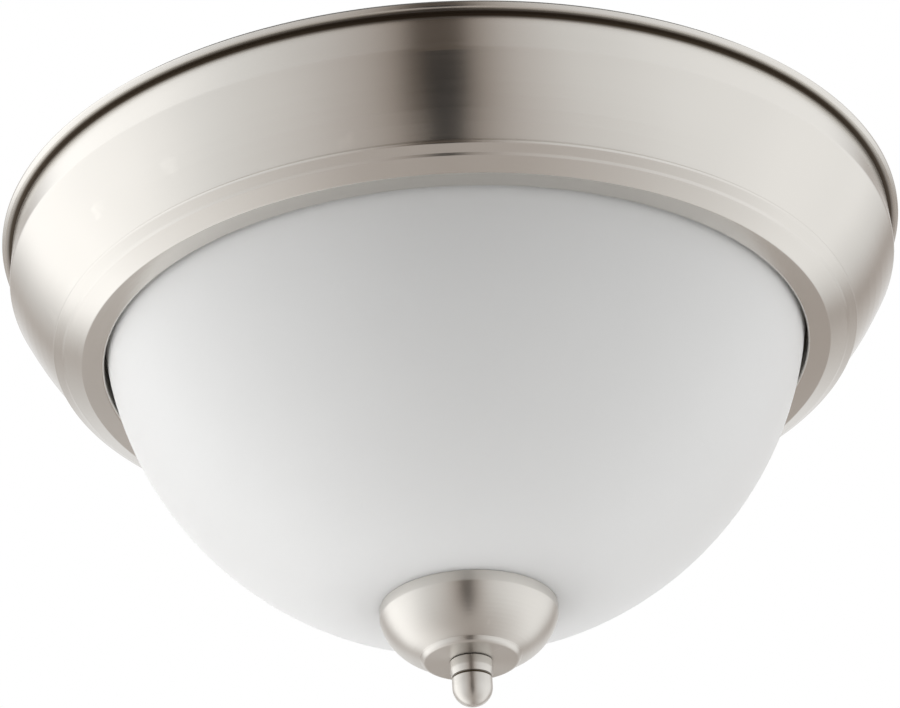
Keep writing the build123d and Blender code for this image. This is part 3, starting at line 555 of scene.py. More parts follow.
@dataclass(frozen=True)
class TurnedMetal(Finish):
    """Metal that was brushed while it turned, with blurred highlights across the brushing and shade painted into some
    corners.

    Attributes:
        density: brushed lines for each metre across them.
        stretch: how far highlights stretch across the lines.
        relief: the strength of the brushed lines.
        soft: how much rougher the small pieces are.
        painted_shade_color: the colour of the shade painted into those corners and grooves.
        corners: radius, height and reach in metres of the rings where shade is painted: the corner under the rim and
            the finial's groove.
    """

    density: float = 5200.0
    stretch: float = 0.7
    relief: float = 0.05
    soft: float = 0.13
    # Painted shade: a dark brown laid into the corner under the rim and into the finial's groove.
    painted_shade_color: Color = (0.10, 0.078, 0.056)
    corners: tuple[tuple[float, float, float], ...] = ((0.1643, -0.0029, 0.0017), (0.00675, -0.17777, 0.0004))

    def build(self, effects: Effects) -> bpy.types.Material:
        """Builds the brushed metal."""
        material, tree, shader = self.start()
        brushing = effects.rings.place(tree, Density=self.density)
        worn = effects.wear.place(tree, Amount=0.3)["Mask"]
        # Painted shade: near each listed ring the base colour turns dark brown and the roughness rises.
        shade_masks = [effects.corner.place(tree, Radius=r, Height=z, Reach=reach)["Mask"] for r, z, reach in self.corners]
        painted_shade_mask = tree.calc("MAXIMUM", *shade_masks)
        base = tree.tint(brushing["Patches"], self.shade(0.975), self.shade(1.02))
        base = tree.mixed(worn, base, self.shade(1.15))
        tree.feed(shader.inputs["Base Color"], tree.mixed(painted_shade_mask, base, self.painted_shade_color))
        rough = tree.span(brushing["Lines"], 0.0, 1.0, self.rough - 0.03, self.rough + 0.03)
        rough = tree.calc("MULTIPLY_ADD", brushing["Small"], self.soft, rough)
        tree.feed(shader.inputs["Roughness"], tree.calc("MULTIPLY_ADD", painted_shade_mask, 0.25, rough))
        bump = tree.add("Bump", {"Height": brushing["Lines"], "Strength": self.relief, "Distance": 0.00004})
        tree.feed(shader.inputs["Normal"], bump.outputs["Normal"])
        shader.inputs["Metallic"].default_value = 1.0
        shader.inputs["Anisotropic"].default_value = self.stretch
        shader.inputs["Anisotropic Rotation"].default_value = 0.25
        tangent = tree.add("Tangent", direction_type="RADIAL", axis="Z")
        tree.feed(shader.inputs["Tangent"], tangent.outputs["Tangent"])
        return material


@dataclass(frozen=True)
class PlainMetal(Finish):
    """Plated, rolled or dyed metal with even grain.

    Attributes:
        metallic: how metallic the surface is.
        grain: the grain's scale.
    """

    metallic: float = 1.0
    grain: float = 500.0

    def build(self, effects: Effects) -> bpy.types.Material:
        """Builds the plain metal."""
        material, tree, shader = self.start()
        grain = effects.grain.place(tree, Scale=self.grain, Slow=55.0)
        worn = effects.wear.place(tree, Amount=0.5)["Mask"]
        base = tree.tint(grain["Slow"], self.shade(0.86), self.shade(1.05))
        tree.feed(shader.inputs["Base Color"], tree.mixed(worn, base, self.shade(1.3)))
        tree.feed(shader.inputs["Roughness"], tree.span(grain["Fine"], 0.0, 1.0, self.rough - 0.05, self.rough + 0.08))
        bump = tree.add("Bump", {"Height": grain["Fine"], "Strength": 0.1, "Distance": 0.0001})
        tree.feed(shader.inputs["Normal"], bump.outputs["Normal"])
        shader.inputs["Metallic"].default_value = self.metallic
        return material


@dataclass(frozen=True)
class OpalGlass(Finish):
    """White glass with a satin surface that scatters light inside.

    Attributes:
        depth: how far light scatters, in metres.
        scatter: the share of light that scatters.
        speck: the strength of the fine etched texture.
    """

    depth: float = 0.012
    scatter: float = 0.6
    speck: float = 0.05

    def build(self, effects: Effects) -> bpy.types.Material:
        """Builds the opal glass."""
        material, tree, shader = self.start()
        grain = effects.grain.place(tree, Scale=1600.0, Slow=9.0)
        tree.feed(shader.inputs["Base Color"], tree.tint(grain["Slow"], self.shade(0.985), self.shade(1.01)))
        tree.feed(shader.inputs["Roughness"], tree.span(grain["Fine"], 0.0, 1.0, self.rough - 0.04, self.rough + 0.04))
        bump = tree.add("Bump", {"Height": grain["Fine"], "Strength": self.speck, "Distance": 0.00005})
        tree.feed(shader.inputs["Normal"], bump.outputs["Normal"])
        shader.inputs["Subsurface Weight"].default_value = self.scatter
        shader.inputs["Subsurface Scale"].default_value = self.depth
        shader.inputs["Subsurface Radius"].default_value = (1.0, 1.0, 1.0)
        shader.inputs["IOR"].default_value = 1.5
        return material


@dataclass(frozen=True)
class Moulded(Finish):
    """Porcelain, rubber, nylon or wire insulation.

    Attributes:
        coat: the weight of a clear glaze.
        grain: the scale of the fine texture.
        relief: the strength of the fine texture.
    """

    coat: float = 0.0
    grain: float = 700.0
    relief: float = 0.08

    def build(self, effects: Effects) -> bpy.types.Material:
        """Builds the moulded material."""
        material, tree, shader = self.start()
        grain = effects.grain.place(tree, Scale=self.grain, Slow=60.0)
        dusty = effects.dust.place(tree, Amount=0.15)["Mask"]
        base = tree.tint(grain["Slow"], self.shade(0.93), self.shade(1.04))
        tree.feed(shader.inputs["Base Color"], tree.mixed(dusty, base, (0.55, 0.53, 0.5)))
        tree.feed(shader.inputs["Roughness"], tree.span(grain["Fine"], 0.0, 1.0, self.rough - 0.05, self.rough + 0.06))
        bump = tree.add("Bump", {"Height": grain["Fine"], "Strength": self.relief, "Distance": 0.0002})
        tree.feed(shader.inputs["Normal"], bump.outputs["Normal"])
        shader.inputs["Coat Weight"].default_value = self.coat
        shader.inputs["Coat Roughness"].default_value = 0.06
        return material


@dataclass(frozen=True)
class Felt(Finish):
    """Glass-fibre felt: crossing fibres, pale and matt."""

    def build(self, effects: Effects) -> bpy.types.Material:
        """Builds the felt."""
        material, tree, shader = self.start()
        place = tree.add("TexCoord").outputs["Object"]
        fibres = None
        for turn in (0.3, 1.4, 2.5):
            turned = tree.add("Mapping", {"Vector": place, "Rotation": (0.0, 0.0, turn)}).outputs["Vector"]
            laid = tree.add("Mapping", {"Vector": turned, "Scale": (60.0, 900.0, 300.0)})
            strand = tree.add("TexNoise", {"Vector": laid.outputs["Vector"], "Scale": 1.0, "Detail": 3.0}).outputs["Fac"]
            fibres = strand if fibres is None else tree.calc("MAXIMUM", fibres, strand)
        lines = tree.span(fibres, 0.5, 0.75, 0.0, 1.0)
        clumps = effects.grain.place(tree, Scale=260.0, Slow=35.0)
        mixed = tree.calc("MULTIPLY_ADD", lines, 0.6, tree.calc("MULTIPLY", clumps["Slow"], 0.4))
        tree.feed(shader.inputs["Base Color"], tree.tint(mixed, self.shade(0.72), self.shade(1.12)))
        bump = tree.add("Bump", {"Height": mixed, "Strength": 0.7, "Distance": 0.0008})
        tree.feed(shader.inputs["Normal"], bump.outputs["Normal"])
        tree.feed(shader.inputs["Roughness"], tree.span(lines, 0.0, 1.0, self.rough, self.rough - 0.12))
        shader.inputs["Sheen Weight"].default_value = 0.2
        return material


FINISHES = [
    TurnedMetal("brushed_nickel", (0.64, 0.62, 0.585), 0.21),
    OpalGlass("opal_glass", (0.80, 0.80, 0.79), 0.42),
    PlainMetal("zinc_steel", (0.62, 0.63, 0.62), 0.36),
    PlainMetal("green_steel", (0.05, 0.26, 0.09), 0.42, metallic=0.6),
    PlainMetal("holder_brass", (0.80, 0.58, 0.26), 0.3),
    Moulded("porcelain", (0.84, 0.83, 0.79), 0.3, coat=0.8, grain=400.0, relief=0.04),
    OpalGlass("frosted_glass", (0.86, 0.86, 0.84), 0.34, depth=0.003, scatter=0.3, speck=0.08),
    PlainMetal("lamp_aluminium", (0.76, 0.76, 0.75), 0.28),
    Moulded("black_insulator", (0.012, 0.012, 0.014), 0.22, coat=0.6, grain=900.0),
    Moulded("grommet_rubber", (0.68, 0.68, 0.65), 0.55, grain=1100.0, relief=0.15),
    Moulded("bushing_nylon", (0.02, 0.02, 0.02), 0.45, grain=1300.0, relief=0.12),
    Felt("glass_fibre", (0.74, 0.66, 0.44), 0.92),
    Moulded("white_lead", (0.78, 0.77, 0.73), 0.38, grain=800.0),
    Moulded("black_lead", (0.016, 0.016, 0.017), 0.38, grain=800.0),
]


class Model:
    """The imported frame, the finishes and a way to add pieces to them."""

    def __init__(self) -> None:
        """Loads the frame, builds the finishes and puts them on the CAD nodes."""
        self.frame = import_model()
        self.cad_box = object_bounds()
        effects = Effects()
        self.finishes = {finish.slot: finish.build(effects) for finish in FINISHES}
        for part in self.frame["record"]["subparts"]:
            self._paint(self.frame["nodes"][part["node"]], part["material_slot"])

    def _paint(self, piece: bpy.types.Object, slot: str) -> None:
        """Gives a piece a finish in place of whatever it had."""
        piece.data.materials.clear()
        piece.data.materials.append(self.finishes[slot])

    def add(self, piece: bpy.types.Object, body: Body, slot: str, *nodes: str) -> bpy.types.Object:
        """Dresses a new piece and sets it in the frame.

        Args:
            piece: the piece, in place.
            body: the body that it rides on.
            slot: the record's material slot.
            nodes: the CAD nodes that it stands for.

        Returns:
            The piece.
        """
        self._paint(piece, slot)
        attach(piece, body.value)
        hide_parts(*nodes)
        log.info("%s rides on %s for %s", piece.name, body.value, ", ".join(nodes))
        return piece


@dataclass(frozen=True)
class Pan:
    """The spun pan with its rolled rim, in millimetres. A drop is a depth below the ceiling.

    Attributes:
        sheet: the sheet's thickness.
        rim_r: the rim's radius.
        rim_depth: the rim's depth.
        wall: the section from under the rim to the foot of the wall, as radius, height and rounding.
        ring: the section of the shoulder ring and the step under it.
        mouth: the section of the band, the lip and the ledge over the glass.
        plate: the section of the tray and the back plate.
    """

    sheet: float = 0.9
    rim_r: float = 168.4
    rim_depth: float = 2.9
    rim_round: float = 1.3
    wall: tuple[Corner, ...] = (
        Corner(164.5, -2.9, 8.0),
        Corner(165.5, -17.7, 3.0),
        Corner(157.876, -31.846, 90.0),
        Corner(147.6, -44.2, 0.4),
    )
    ring: tuple[Corner, ...] = (
        Corner(149.25, -44.4, 0.45),
        Corner(149.3, -45.3, 0.7),
        Corner(146.0, -47.4, 0.6),
        Corner(145.25, -48.15, 0.6),
    )
    mouth: tuple[Corner, ...] = (
        Corner(138.9, -51.3, 1.6),
        Corner(130.5, -51.7, 0.9),
        Corner(130.5, -43.0, 0.6),
        Corner(118.0, -43.0, 1.5),
    )
    plate: tuple[Corner, ...] = (Corner(112.5, -10.9, 3.0), Corner(6.6, -10.9))

    def section(self) -> list[Point]:
        """Closed outline of the sheet with the solid rim at its upper end."""
        corners = [Corner(self.wall[0].r, 0.0), *self.wall, *self.ring, *self.mouth, *self.plate]
        outline = sheet_points(corners, self.sheet)
        below_rim = next(i for i, (_, z) in enumerate(outline) if z < -self.rim_depth)
        rim = rounded_points(
            [
                Corner(self.wall[0].r - self.sheet, 0.0),
                Corner(self.rim_r, 0.0, self.rim_round),
                Corner(self.rim_r, -self.rim_depth, self.rim_round),
                Corner(outline[below_rim][0], -self.rim_depth),
            ]
        )
        return rim + outline[below_rim:-1]

    def build(self, model: Model) -> None:
        """Builds the pan on the fixture."""
        pan = Lathe(segments=384).piece("pan", self.section())
        model.add(pan, Body.FIXTURE, "brushed_nickel", "ceiling_pan")


@dataclass(frozen=True)
class Shade:
    """The glass bowl with its grommet and the cap under it, in millimetres."""

    glass_r: float = 131.38
    centre: float = -25.0
    top: float = -43.3
    wall: float = 3.5
    bend_r: float = 90.0
    bend_angle: float = math.radians(30.0)
    hole_r: float = 7.0
    edge: float = 1.0
    arc_steps: int = 40
    grommet_bore: float = 5.45
    grommet_flange_r: float = 9.95
    grommet_flange: float = 1.6
    grommet_round: float = 0.7
    cap_sheet: float = 1.0
    cap: tuple[Corner, ...] = (
        Corner(32.2, -150.271),
        Corner(32.2, -154.171, 1.3),
        Corner(29.1, -164.771, 20.5),
        Corner(18.2, -169.171, 0.2),
        Corner(17.9, -171.271, 1.8),
        Corner(5.1, -171.271),
    )

    @property
    def base(self) -> float:
        """Height of the glass's flat underside."""
        return self.centre - (self.glass_r - self.bend_r) * math.cos(self.bend_angle) - self.bend_r

    def _face(self, inset: float) -> list[Point]:
        """One face of the glass, from the top edge to the hole, a distance inside the outer face."""
        reach = self.glass_r - inset
        start = math.acos((self.top - self.centre) / reach)
        end = math.pi - self.bend_angle
        points = []
        for i in range(self.arc_steps + 1):
            angle = start + (end - start) * i / self.arc_steps
            points.append((reach * math.sin(angle), self.centre + reach * math.cos(angle)))
        turn_r = (self.glass_r - self.bend_r) * math.sin(self.bend_angle)
        turn_z = self.centre - (self.glass_r - self.bend_r) * math.cos(self.bend_angle)
        bend = self.bend_r - inset
        for i in range(1, self.arc_steps + 1):
            angle = self.bend_angle * (1 - i / self.arc_steps)
            points.append((turn_r + bend * math.sin(angle), turn_z - bend * math.cos(angle)))
        return points + [(self.hole_r, self.base + inset)]

    def _glass(self) -> list[Point]:
        """Closed outline of the glass with its fire-polished upper edge."""
        outer = self._face(0.0)
        inner = self._face(self.wall)
        lip = rounded_points(
            [
                Corner(*outer[1]),
                Corner(outer[0][0], self.top, self.edge),
                Corner(inner[0][0], self.top, self.edge),
                Corner(*inner[1]),
            ]
        )
        return with_supports(outer[1:] + inner[:0:-1]) + lip[::-1][1:-1]

    def _grommet(self) -> list[Point]:
        """Closed outline of the grommet, soft at every edge."""
        low, high = self.base, self.base + self.wall
        neck, bore, flange = self.hole_r - 0.05, self.grommet_bore, self.grommet_flange_r
        bend, lip = self.grommet_round, self.grommet_flange
        corners = [
            Corner(bore, (low + high) / 2),
            Corner(bore, high + lip, bend),
            Corner(flange, high + lip, bend),
            Corner(flange, high, bend),
            Corner(neck, high, 0.2),
            Corner(neck, low, 0.2),
            Corner(flange, low, bend),
            Corner(flange, low - lip, bend),
            Corner(bore, low - lip, bend),
            Corner(bore, (low + high) / 2),
        ]
        return rounded_points(corners)[:-1]

    def build(self, model: Model) -> None:
        """Builds the bowl, the grommet and the cap on the shade."""
        model.add(Lathe(segments=320).piece("bowl", self._glass()), Body.SHADE, "opal_glass", "glass_bowl")
        model.add(Lathe(segments=96).piece("grommet", self._grommet()), Body.SHADE, "grommet_rubber", "glass_grommet")
        cap = Lathe(segments=256).piece("cap_spun", sheet_points(list(self.cap), self.cap_sheet))
        model.add(cap, Body.SHADE, "brushed_nickel", "cap")


@dataclass(frozen=True)
class FinialKnob:
    """The turned finial, in millimetres down from its top face."""

    top: float = -171.571
    bore_r: float = 5.1
    bore_depth: float = 12.6
    edge: float = 0.2
    collar: Corner = Corner(7.75, 3.2)
    ring: Corner = Corner(7.25, 5.7)
    groove: Corner = Corner(6.75, 6.7)
    dome: Corner = Corner(7.25, 16.7, 6.9)

    def build(self, model: Model) -> None:
        """Builds the finial with its threaded hole."""
        down = self.top
        edge = self.edge
        corners = [
            Corner(0.0, down - self.bore_depth),
            Corner(self.bore_r, down - self.bore_depth),
            Corner(self.bore_r, down, edge),
            Corner(self.collar.r, down, edge),
            Corner(self.collar.r, down - self.collar.z, edge),
            Corner(self.ring.r, down - self.ring.z, edge / 2),
            Corner(self.groove.r, down - self.ring.z, edge / 3),
            Corner(self.groove.r, down - self.groove.z, edge / 3),
            Corner(self.dome.r, down - self.groove.z, edge / 2),
            Corner(self.dome.r, down - self.dome.z, self.dome.bend),
            Corner(0.0, down - self.dome.z),
        ]
        knob = Lathe(segments=160, closed=False).piece("finial_knob", rounded_points(corners))
        model.add(knob, Body.FINIAL, "brushed_nickel", "finial")


def threaded(pitch: float, depth: float, start: float, end: float, left: bool = False) -> Ripple:
    """Ripple of a rounded screw thread whose crest stays on the section.

    Args:
        pitch: the advance of one turn.
        depth: from crest to root.
        start: where the thread starts along the axis.
        end: where it ends.
        left: whether the thread runs the other way.

    Returns:
        The offset of the radius for radius, place along the axis and angle.
    """

    def offset(_r: float, z: float, angle: float) -> float:
        """How far below the crest the thread is here."""
        if not start < z < end:
            return 0.0
        fade = min(1.0, (z - start) / pitch, (end - z) / pitch)
        turn = angle if left else -angle
        return -depth * fade * (0.5 - 0.5 * math.cos(math.tau * z / pitch + turn))

    return offset


def hexagonal(flats: float) -> Ripple:
    """Ripple that keeps a section inside a hexagon of that width across its flats."""

    def offset(r: float, _z: float, angle: float) -> float:
        """How far the hexagon's side is inside the circle here."""
        side = (angle + math.pi / 6) % (math.pi / 3) - math.pi / 6
        return min(0.0, flats / 2 / math.cos(side) - r)

    return offset


def knurled(count: int, depth: float, above: float) -> Ripple:
    """Ripple of straight knurls on every radius above a given one."""

    def offset(r: float, _z: float, angle: float) -> float:
        """How deep the knurl is here."""
        return -depth * (0.5 - 0.5 * math.cos(count * angle)) if r > above else 0.0

    return offset


def even_run(radius: float, start: float, end: float, step: float) -> list[Point]:
    """Points along a straight side, close enough for a thread."""
    count = math.ceil(abs(end - start) / step)
    return [(radius, start + (end - start) * i / count) for i in range(count + 1)]


@dataclass(frozen=True)
class Screw:
    """A screw with a rounded head, made with its underside at zero and its shank down, in millimetres.

    Attributes:
        head_r: the head's radius.
        head: the head's height.
        shank_r: the shank's radius over the thread's crests.
        shank: the shank's length.
        drive: what is cut into the head.
        pitch: the thread's pitch.
    """

    head_r: float
    head: float
    shank_r: float
    shank: float
    drive: Drive
    pitch: float = 0.8

    def _section(self) -> list[Point]:
        """From the tip's centre to the head's centre."""
        tip = 0.35
        thread = even_run(self.shank_r, -self.shank + tip, -0.05, self.pitch / 6)
        crown = [
            Corner(self.shank_r, 0.0),
            Corner(self.head_r, 0.0, 0.2),
            Corner(self.head_r, self.head, self.head * 0.8),
            Corner(0.0, self.head),
        ]
        return [(0.0, -self.shank), (self.shank_r - tip, -self.shank), *thread, *rounded_points(crown)]

    def _cut(self, body: bpy.types.Object) -> bpy.types.Mesh:
        """Cuts the slot or the cross out of the head."""
        long, narrow, deep = self.head_r * 2.4, self.head_r * 0.24, self.head * 0.62
        across = long if self.drive is Drive.SLOT else self.head_r * 1.15
        bars = [(long if self.drive is not Drive.CROSS else across, narrow)]
        if self.drive is not Drive.SLOT:
            bars.append((narrow, across))
        mesh = body.data
        for length, width in bars:
            cutter = bpy.data.meshes.new("cutter")
            shape = bmesh.new()
            size = Matrix.Diagonal((length * MM, width * MM, deep * 2 * MM, 1.0))
            bmesh.ops.create_cube(shape, size=1.0, matrix=spot(0.0, 0.0, self.head) @ size)
            shape.to_mesh(cutter)
            shape.free()
            tool = bpy.data.objects.new("cutter", cutter)
            bpy.context.scene.collection.objects.link(tool)
            hole = body.modifiers.new("hole", "BOOLEAN")
            hole.object, hole.operation, hole.solver = tool, "DIFFERENCE", "EXACT"
            bpy.context.view_layer.update()
            mesh = bpy.data.meshes.new_from_object(body.evaluated_get(bpy.context.evaluated_depsgraph_get()))
            body.modifiers.clear()
            body.data = mesh
            bpy.data.objects.remove(tool)
        return mesh

    def build(self, name: str, *places: Matrix) -> bpy.types.Object:
        """Builds the screw in each place.

        Args:
            name: the piece's name.
            places: where the underside of each head goes.

        Returns:
            One piece with all of them.
        """
        ripple = threaded(self.pitch, self.pitch * 0.45, -self.shank, -0.05)
        inner = Lathe(segments=48, closed=False, ripple=lambda r, z, a: ripple(r, z, a) if r >= self.shank_r - 0.01 else 0.0)
        body = inner.piece(name + "_blank", self._section())
        mesh = self._cut(body)
        bpy.data.objects.remove(body)
        return finish_mesh(name, gathered(mesh, *places), sharp=28.0)


def both(place: Matrix) -> list[Matrix]:
    """A place and the one that is half a turn from it about the vertical axis."""
    return [place, HALF_TURN @ place]


@dataclass(frozen=True)
class Hardware:
    """The rod, nuts, washer, screws and rivets of the pan, in millimetres."""

    rod_r: float = 4.8
    rod_top: float = -16.6
    rod_tip: float = -183.871
    rod_chamfer: float = 0.7
    rod_pitch: float = 0.94
    nut_flats: float = 14.0
    nut_thick: float = 3.8
    nut_tops: tuple[float, float] = (-17.1, -23.5)
    washer: tuple[float, float, float] = (7.6, -22.5, -23.5)
    plate: float = -10.9
    sheet: float = 0.9
    canopy_x: float = 57.0
    canopy_head: float = -3.2
    canopy_nut_r: float = 6.5
    canopy_nut_length: float = 8.0
    canopy_collar: tuple[float, float] = (4.6, 1.6)
    strap_screw: tuple[float, float] = (27.0, -12.5)
    rivets: tuple[float, float, float] = (75.533, 35.5, 48.5)
    rivet_r: float = 3.4
    rivet_head: float = 1.1
    bracket: float = 1.2

    def build(self, model: Model) -> None:
        """Builds the small metal pieces on the fixture."""
        self._rod(model)
        self._nuts(model)
        self._screws(model)
        self._rivets(model)

    def _rod(self, model: Model) -> None:
        """The threaded rod."""
        start, end, edge = self.rod_tip + self.rod_chamfer, self.rod_top - self.rod_chamfer, self.rod_chamfer
        section = [(0.0, self.rod_tip), (self.rod_r - edge, self.rod_tip)]
        section += even_run(self.rod_r, start, end, self.rod_pitch / 7)
        section += [(self.rod_r - edge, self.rod_top), (0.0, self.rod_top)]
        ripple = threaded(self.rod_pitch, 0.5, start - edge, end + edge)
        turned = Lathe(segments=40, closed=False, ripple=lambda r, z, a: ripple(r, z, a) if r == self.rod_r else 0.0)
        model.add(turned.piece("rod", section), Body.FIXTURE, "zinc_steel", "center_rod")

    def _nuts(self, model: Model) -> None:
        """Hexagon nuts with both faces chamfered, the washer and the thumb nuts."""
        corner, face = self.nut_flats / 2 / math.cos(math.pi / 6), self.nut_flats / 2 - 0.3
        bore, slope = self.rod_r + 0.05, 0.75
        for name, node, top in zip(("nut_over", "nut_under"), ("rod_nut_upper", "rod_nut_lower"), self.nut_tops):
            low = top - self.nut_thick
            inner = [(bore, low), (face, low)] + [(face + (corner - face) * i / 6, low + slope * i / 6) for i in range(1, 7)]
            outer = [(r, low + top - z) for r, z in reversed(inner)]
            piece = Lathe(segments=96, ripple=hexagonal(self.nut_flats)).piece(name, inner + outer)
            model.add(piece, Body.FIXTURE, "zinc_steel", node)
        radius, high, low = self.washer
        corners = [
            Corner(bore, (high + low) / 2),
            Corner(bore, low, 0.2),
            Corner(radius, low, 0.3),
            Corner(radius, high, 0.3),
            Corner(bore, high, 0.2),
            Corner(bore, (high + low) / 2),
        ]
        washer = Lathe(segments=96).piece("washer", rounded_points(corners)[:-1])
        model.add(washer, Body.FIXTURE, "zinc_steel", "rod_lock_washer")
        radius, length = self.canopy_nut_r, self.canopy_nut_length
        collar_r, collar = self.canopy_collar
        corners = [
            Corner(2.1, 0.0),
            Corner(collar_r, 0.0, 0.3),
            Corner(collar_r, -collar, 0.3),
            Corner(radius, -collar, 0.7),
            Corner(radius, -length, 0.7),
            Corner(2.1, -length),
        ]
        grip = rounded_points(corners)
        thumb = Lathe(segments=288, ripple=knurled(36, 0.45, radius - 0.35))
        piece = thumb.piece("thumb_nuts", grip, *both(spot(self.canopy_x, 0.0, self.plate)))
        model.add(piece, Body.FIXTURE, "zinc_steel", "canopy_nuts")

    def _screws(self, model: Model) -> None:
        """Canopy screws and the strap screws."""
        down = Matrix.Identity(4)
        canopy = Screw(3.9, 2.0, 2.05, 18.3, Drive.COMBINED)
        piece = canopy.build("canopy_bolts", *both(spot(self.canopy_x, 0.0, self.canopy_head) @ down))
        model.add(piece, Body.FIXTURE, "zinc_steel", "canopy_screws")
        reach, under = self.strap_screw
        upward = Matrix.Rotation(math.pi, 4, "X")
        strap = Screw(3.3, 1.9, 1.7, 5.0, Drive.CROSS)
        piece = strap.build("strap_bolts", *both(spot(0.0, reach, under) @ upward))
        model.add(piece, Body.FIXTURE, "zinc_steel", "strap_screws")

    def _rivets(self, model: Model) -> None:
        """Domed rivets through the back plate and the bracket tabs."""
        top = self.plate + self.sheet + self.rivet_head
        low = self.plate - self.bracket - self.rivet_head
        core, flat = 1.9, 0.05
        corners = [
            Corner(0.0, low),
            Corner(self.rivet_r, low, self.rivet_head * 0.75),
            Corner(self.rivet_r, low + self.rivet_head, flat),
            Corner(core, low + self.rivet_head),
            Corner(core, top - self.rivet_head),
            Corner(self.rivet_r, top - self.rivet_head, flat),
            Corner(self.rivet_r, top, self.rivet_head * 0.75),
            Corner(0.0, top),
        ]
        x, near, far = self.rivets
        places = both(spot(-x, near, 0.0)) + both(spot(-x, far, 0.0))
        piece = Lathe(segments=64, closed=False).piece("rivets", rounded_points(corners), *places)
        model.add(piece, Body.FIXTURE, "zinc_steel", "bracket_rivets")


@dataclass(frozen=True)
class Lamp:
    """A frosted lamp on a screw base, made upward from its tip, in millimetres.

    Attributes:
        shoulder: the envelope's section from the base to the round end.
        glass: the envelope's wall.
        shell: the screw shell's section at its curled end.
        metal: the shell's wall.
        base_end: where the shell ends.
        pitch: the advance of the rolled thread.
        thread: from crest to root.
    """

    envelope: tuple[Corner, ...] = (
        Corner(13.4, 27.0),
        Corner(13.4, 42.0, 34.0),
        Corner(30.0, 62.0, 34.0),
        Corner(30.0, 106.0, 29.5),
        Corner(0.0, 106.0),
    )
    glass: float = 0.8
    base_r: float = 13.05
    base_start: float = 6.5
    base_end: float = 27.0
    curl_r: float = 9.0
    shoulder: float = 9.0
    metal: float = 0.4
    pitch: float = 3.629
    thread: float = 0.85
    tip: tuple[float, float] = (4.6, 1.6)
    cone_r: float = 5.4

    def _shell(self) -> list[Point]:
        """Closed outline of the screw shell."""
        outer = rounded_points(
            [Corner(self.curl_r, self.base_start), Corner(self.base_r, self.shoulder, 2.0), Corner(self.base_r, 10.5)]
        )
        outer += even_run(self.base_r, 10.8, self.base_end - 0.3, 0.3)
        inner = [(r - self.metal, z) for r, z in reversed(outer)]
        return outer + [(self.base_r, self.base_end), (self.base_r - self.metal, self.base_end)] + inner

    def build(self, model: Model, number: int, place: Matrix) -> None:
        """Builds one lamp.

        Args:
            model: the model it belongs to.
            number: the lamp's number.
            place: where its tip and axis go.
        """
        body = Body(f"lamp_{number}")
        envelope = sheet_points([Corner(c.r, c.z, c.bend) for c in self.envelope], self.glass)
        glass = Lathe(segments=160, closed=True).piece(f"envelope_{number}", envelope, place)
        model.add(glass, body, "frosted_glass", f"lamp_{number}_envelope")
        rolled = Lathe(segments=96, ripple=threaded(self.pitch, self.thread, 10.0, 25.4))
        shell = rolled.piece(f"screw_shell_{number}", self._shell(), place)
        model.add(shell, body, "lamp_aluminium", f"lamp_{number}_screw_base")
        radius, height = self.tip
        cone = [
            Corner(0.0, height),
            Corner(self.cone_r, height, 0.4),
            Corner(self.curl_r - 0.3, self.base_start - 0.4, 0.3),
            Corner(self.curl_r - 0.6, self.base_start),
            Corner(0.0, self.base_start),
        ]
        insulator = Lathe(segments=64, closed=False).piece(f"insulator_{number}", rounded_points(cone), place)
        model.add(insulator, body, "black_insulator", f"lamp_{number}_insulator")
        button = [Corner(0.0, 0.0), Corner(radius, 0.0, 1.1), Corner(radius, height), Corner(0.0, height)]
        contact = Lathe(segments=64, closed=False).piece(f"tip_{number}", rounded_points(button), place)
        model.add(contact, body, "lamp_aluminium", f"lamp_{number}_tip")


